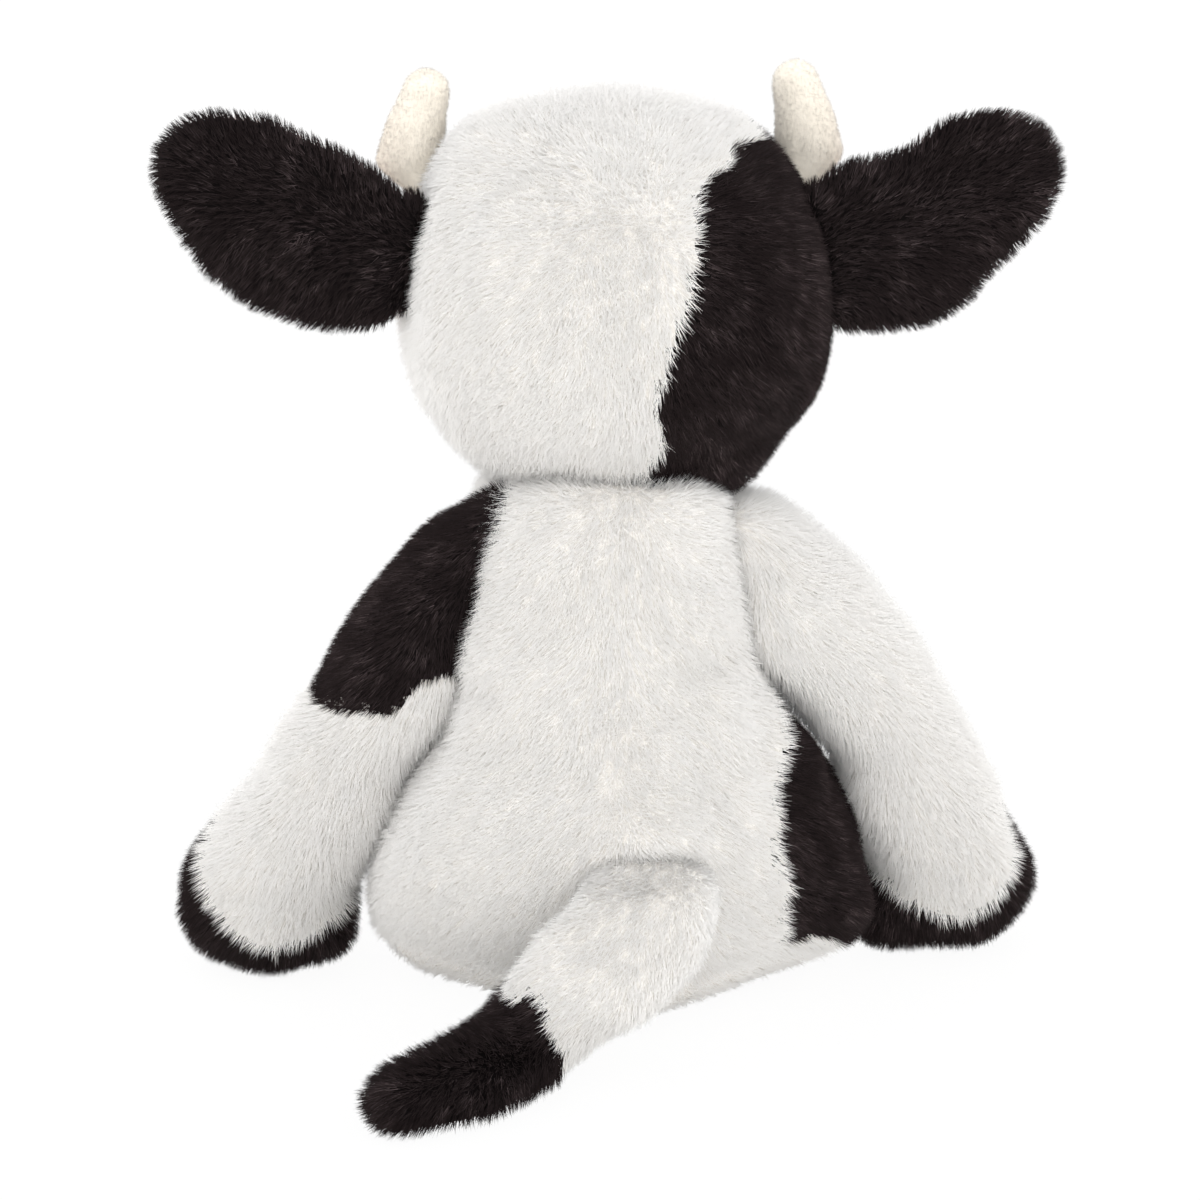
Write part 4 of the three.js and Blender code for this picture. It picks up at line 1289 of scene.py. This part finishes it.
@dataclass(frozen=True)
class Studio:
    """The floor, the soft light and the camera."""

    view_from: Point = (0.132, 1.192, 0.516)
    look_at: Point = (0.002, -0.038, 0.114)
    frame_width: float = 384 * MM
    distance: float = 1.3
    floor_size: float = 6.0
    # How much of the floor that the camera sees is plain white.
    floor_white: float = 0.95
    # The room's light, level with the cow and from straight above.
    ambient: float = 2.1
    ambient_above: float = 1.18
    lamps: tuple[Lamp, ...] = (
        Lamp("back_softbox", (-0.1, 1.7, 0.8), 1.6, 4.0),
        Lamp("front_softbox", (0.2, -1.8, 0.5), 1.4, 10.0),
    )

    def build(self) -> None:
        """Builds the stage."""
        self.place_camera()
        self.lay_floor()
        self.light_world()
        for lamp in self.lamps:
            lamp.build()
        bpy.context.scene.view_settings.view_transform = "Standard"

    def place_camera(self) -> None:
        """Places the camera where the photograph was taken from."""
        data = bpy.data.cameras.new("camera")
        data.angle = 2 * math.atan(self.frame_width / 2 / self.distance)
        camera = bpy.data.objects.new("camera", data)
        bpy.context.scene.collection.objects.link(camera)
        camera.location = self.view_from
        camera.rotation_mode = "QUATERNION"
        aim = Vector(self.look_at) - Vector(self.view_from)
        camera.rotation_quaternion = aim.to_track_quat("-Z", "Y")
        bpy.context.scene.camera = camera

    def lay_floor(self) -> None:
        """Lays a plain white floor that keeps a faint shadow."""
        plane = bmesh.new()
        bmesh.ops.create_grid(plane, x_segments=1, y_segments=1, size=self.floor_size / 2)
        mesh = bpy.data.meshes.new("floor")
        plane.to_mesh(mesh)
        plane.free()
        material, tree = new_material("white_paper_floor")
        paper = add_node(
            tree, "ShaderNodeBsdfPrincipled",
            {"Base Color": linear("fbfaf8"), "Roughness": 1.0, "Specular IOR Level": 0.0},
        )
        glow = add_node(tree, "ShaderNodeEmission", {"Color": (1, 1, 1, 1), "Strength": 1.0})
        path = add_node(tree, "ShaderNodeLightPath")
        seen = sum_of(tree, "MULTIPLY", path.outputs["Is Camera Ray"], self.floor_white)
        mixed = add_node(
            tree, "ShaderNodeMixShader", {0: seen, 1: paper.outputs[0], 2: glow.outputs[0]}
        )
        finish_with(tree, mixed)
        mesh.materials.append(material)
        mesh_object("floor", mesh)

    def light_world(self) -> None:
        """Lights the scene softly from all round, against white."""
        world = bpy.data.worlds.new("studio")
        bpy.context.scene.world = world
        world.use_nodes = True
        tree = world.node_tree
        tree.nodes.clear()
        path = add_node(tree, "ShaderNodeLightPath")
        way = add_node(tree, "ShaderNodeTexCoord")
        height = add_node(tree, "ShaderNodeSeparateXYZ", {0: way.outputs["Generated"]})
        level = add_node(
            tree, "ShaderNodeMapRange",
            {0: height.outputs[2], 1: 0.0, 2: 1.0, 3: self.ambient, 4: self.ambient_above},
        )
        around = add_node(
            tree, "ShaderNodeBackground", {"Color": (1, 1, 1, 1), "Strength": level.outputs[0]}
        )
        backdrop = add_node(tree, "ShaderNodeBackground", {"Color": (1, 1, 1, 1), "Strength": 1.0})
        mixed = add_node(
            tree, "ShaderNodeMixShader",
            {0: path.outputs["Is Camera Ray"], 1: around.outputs[0], 2: backdrop.outputs[0]},
        )
        add_node(tree, "ShaderNodeOutputWorld", {"Surface": mixed.outputs[0]})


def cow_parts() -> list[StuffedPart]:
    """Returns the cow's stuffed parts, in the order they are sewn."""
    left_path = ((47, 1, 135), (71, -3, 103), (96, -11, 64), (111, -26, 24))
    right_path = ((-42.5, 1, 135), (-73.5, -3, 103), (-96, -11, 64), (-111, -19, 24))
    return [
        Torso(),
        StuffedPart(
            "pellet_bag",
            "torso",
            ("seat_pellet_bag",),
            bare=(Finish.BAG, "pellets"),
            swell=0.0,
            fill=0.5,
        ),
        StuffedPart("neck_plug", "neck", ("neck_fill",), swell=0.0, fill=0.6),
        Head(),
        Muzzle(),
        Ear(
            "left", 1, 0.237, 25,
            (
                Pull((61, 8, 258.5), (3, 1, 1), 18),
                Pull((67, 8, 226), (5, 0, 0), 18),
                Pull((101, 0, 279), (0, 0, -3), 34),
                Pull((139, 0, 265.5), (1.2, 0, 0), 20),
            ),
        ),
        Ear(
            "right", -1, 0.2335, 24,
            (
                Pull((-68, 2, 254), (3, 3, 6), 24),
                Pull((-66, 0, 222), (2, 0, -4), 14),
                Pull((-84.5, 0, 271.6), (0, 0, -3), 28),
                Pull((-116, 0, 229), (2, 0, 4.5), 22),
                Pull((-78.5, 0, 210.4), (0, 0, -1), 18),
                Pull((-131, 0, 265), (-1.5, 0, 1), 24),
            ),
        ),
        Horn("left", 1, Pull((46, 0, 284), (-1.8, 0, 3.6), 32)),
        Horn("right", -1, Pull((-56, 0, 282), (-2, 0, 4), 36)),
        Arm(
            "left",
            (
                black("left_arm_upper_patch"),
                white("left_arm_cover", ARM),
                black("left_arm_hoof", HOOF, 0.6 * MM),
            ),
            left_path,
            (
                Pull((48, 16, 158), (-12, 7, 13), 24),
                Pull((42, 19, 167), (-4, 3, 8), 18),
                Pull((56, 18, 128), (-2, 3, 0), 26),
                Pull((64, 10, 95), (-2, 3, 0), 28),
                Pull((80, 0, 144), (-1.5, 0, -1), 30),
                Pull((98, -4, 112), (-1.5, 0, 0), 26),
                Pull((101, 0, 96), (-5, 0, 0), 24),
                Pull((110, -8, 6), (0, 3, -2), 24),
                Pull((80, 0, 55), (-8, 1, 0), 34),
                Pull((124, -8, 70), (-4.5, 0, -1), 36),
                Pull((88, -18, 14), (-4.5, 2, 0), 22),
                Pull((137, -24, 30), (3, 0, 0), 20),
                Pull((134, -22, 12), (3, 2, -3), 18),
                Pull((86, -12, 6), (-4, 4, -3), 18),
            ),
            (
                SeamShift("left_arm_upper_patch", (55, 20, 107), -14, 19),
                SeamShift("left_arm_hoof", (125, -10, 22), -1, 20),
                SeamShift("left_arm_hoof", (88, -8, 20), 3, 20),
            ),
        ),
        Arm(
            "right",
            (white("right_arm_cover", ARM), black("right_arm_hoof", HOOF, 1.5 * MM)),
            right_path,
            (
                Pull((-44, 16, 152), (8, 5, 9), 26),
                Pull((-52, 16, 120), (4, 4, 0), 28),
                Pull((-86, -14, 12), (11, 2, 0), 22),
                Pull((-137, -12, 47), (6, 0, 0), 22),
                Pull((-137, -14, 22), (-2, 0, 0), 20),
                Pull((-86, -10, 6), (5, 5, -3), 20),
                Pull((-66, 4, 92), (2, 2, 0), 26),
                Pull((-81, -4, 52), (6.5, 1, 0), 28),
            ),
            (SeamShift("right_arm_hoof", (-88, -8, 20), 5, 22),),
        ),
        Leg("left", 1),
        Leg("right", -1),
        Tail(),
    ]


def main() -> None:
    """Builds the cow and its studio."""
    logging.basicConfig(level=logging.INFO, format="%(name)s: %(message)s")
    Studio().build()
    for part in cow_parts():
        part.build()
    for side in ("left", "right"):
        Eye(side).build()
    Stitching().build()


if __name__ == "__main__":
    main()
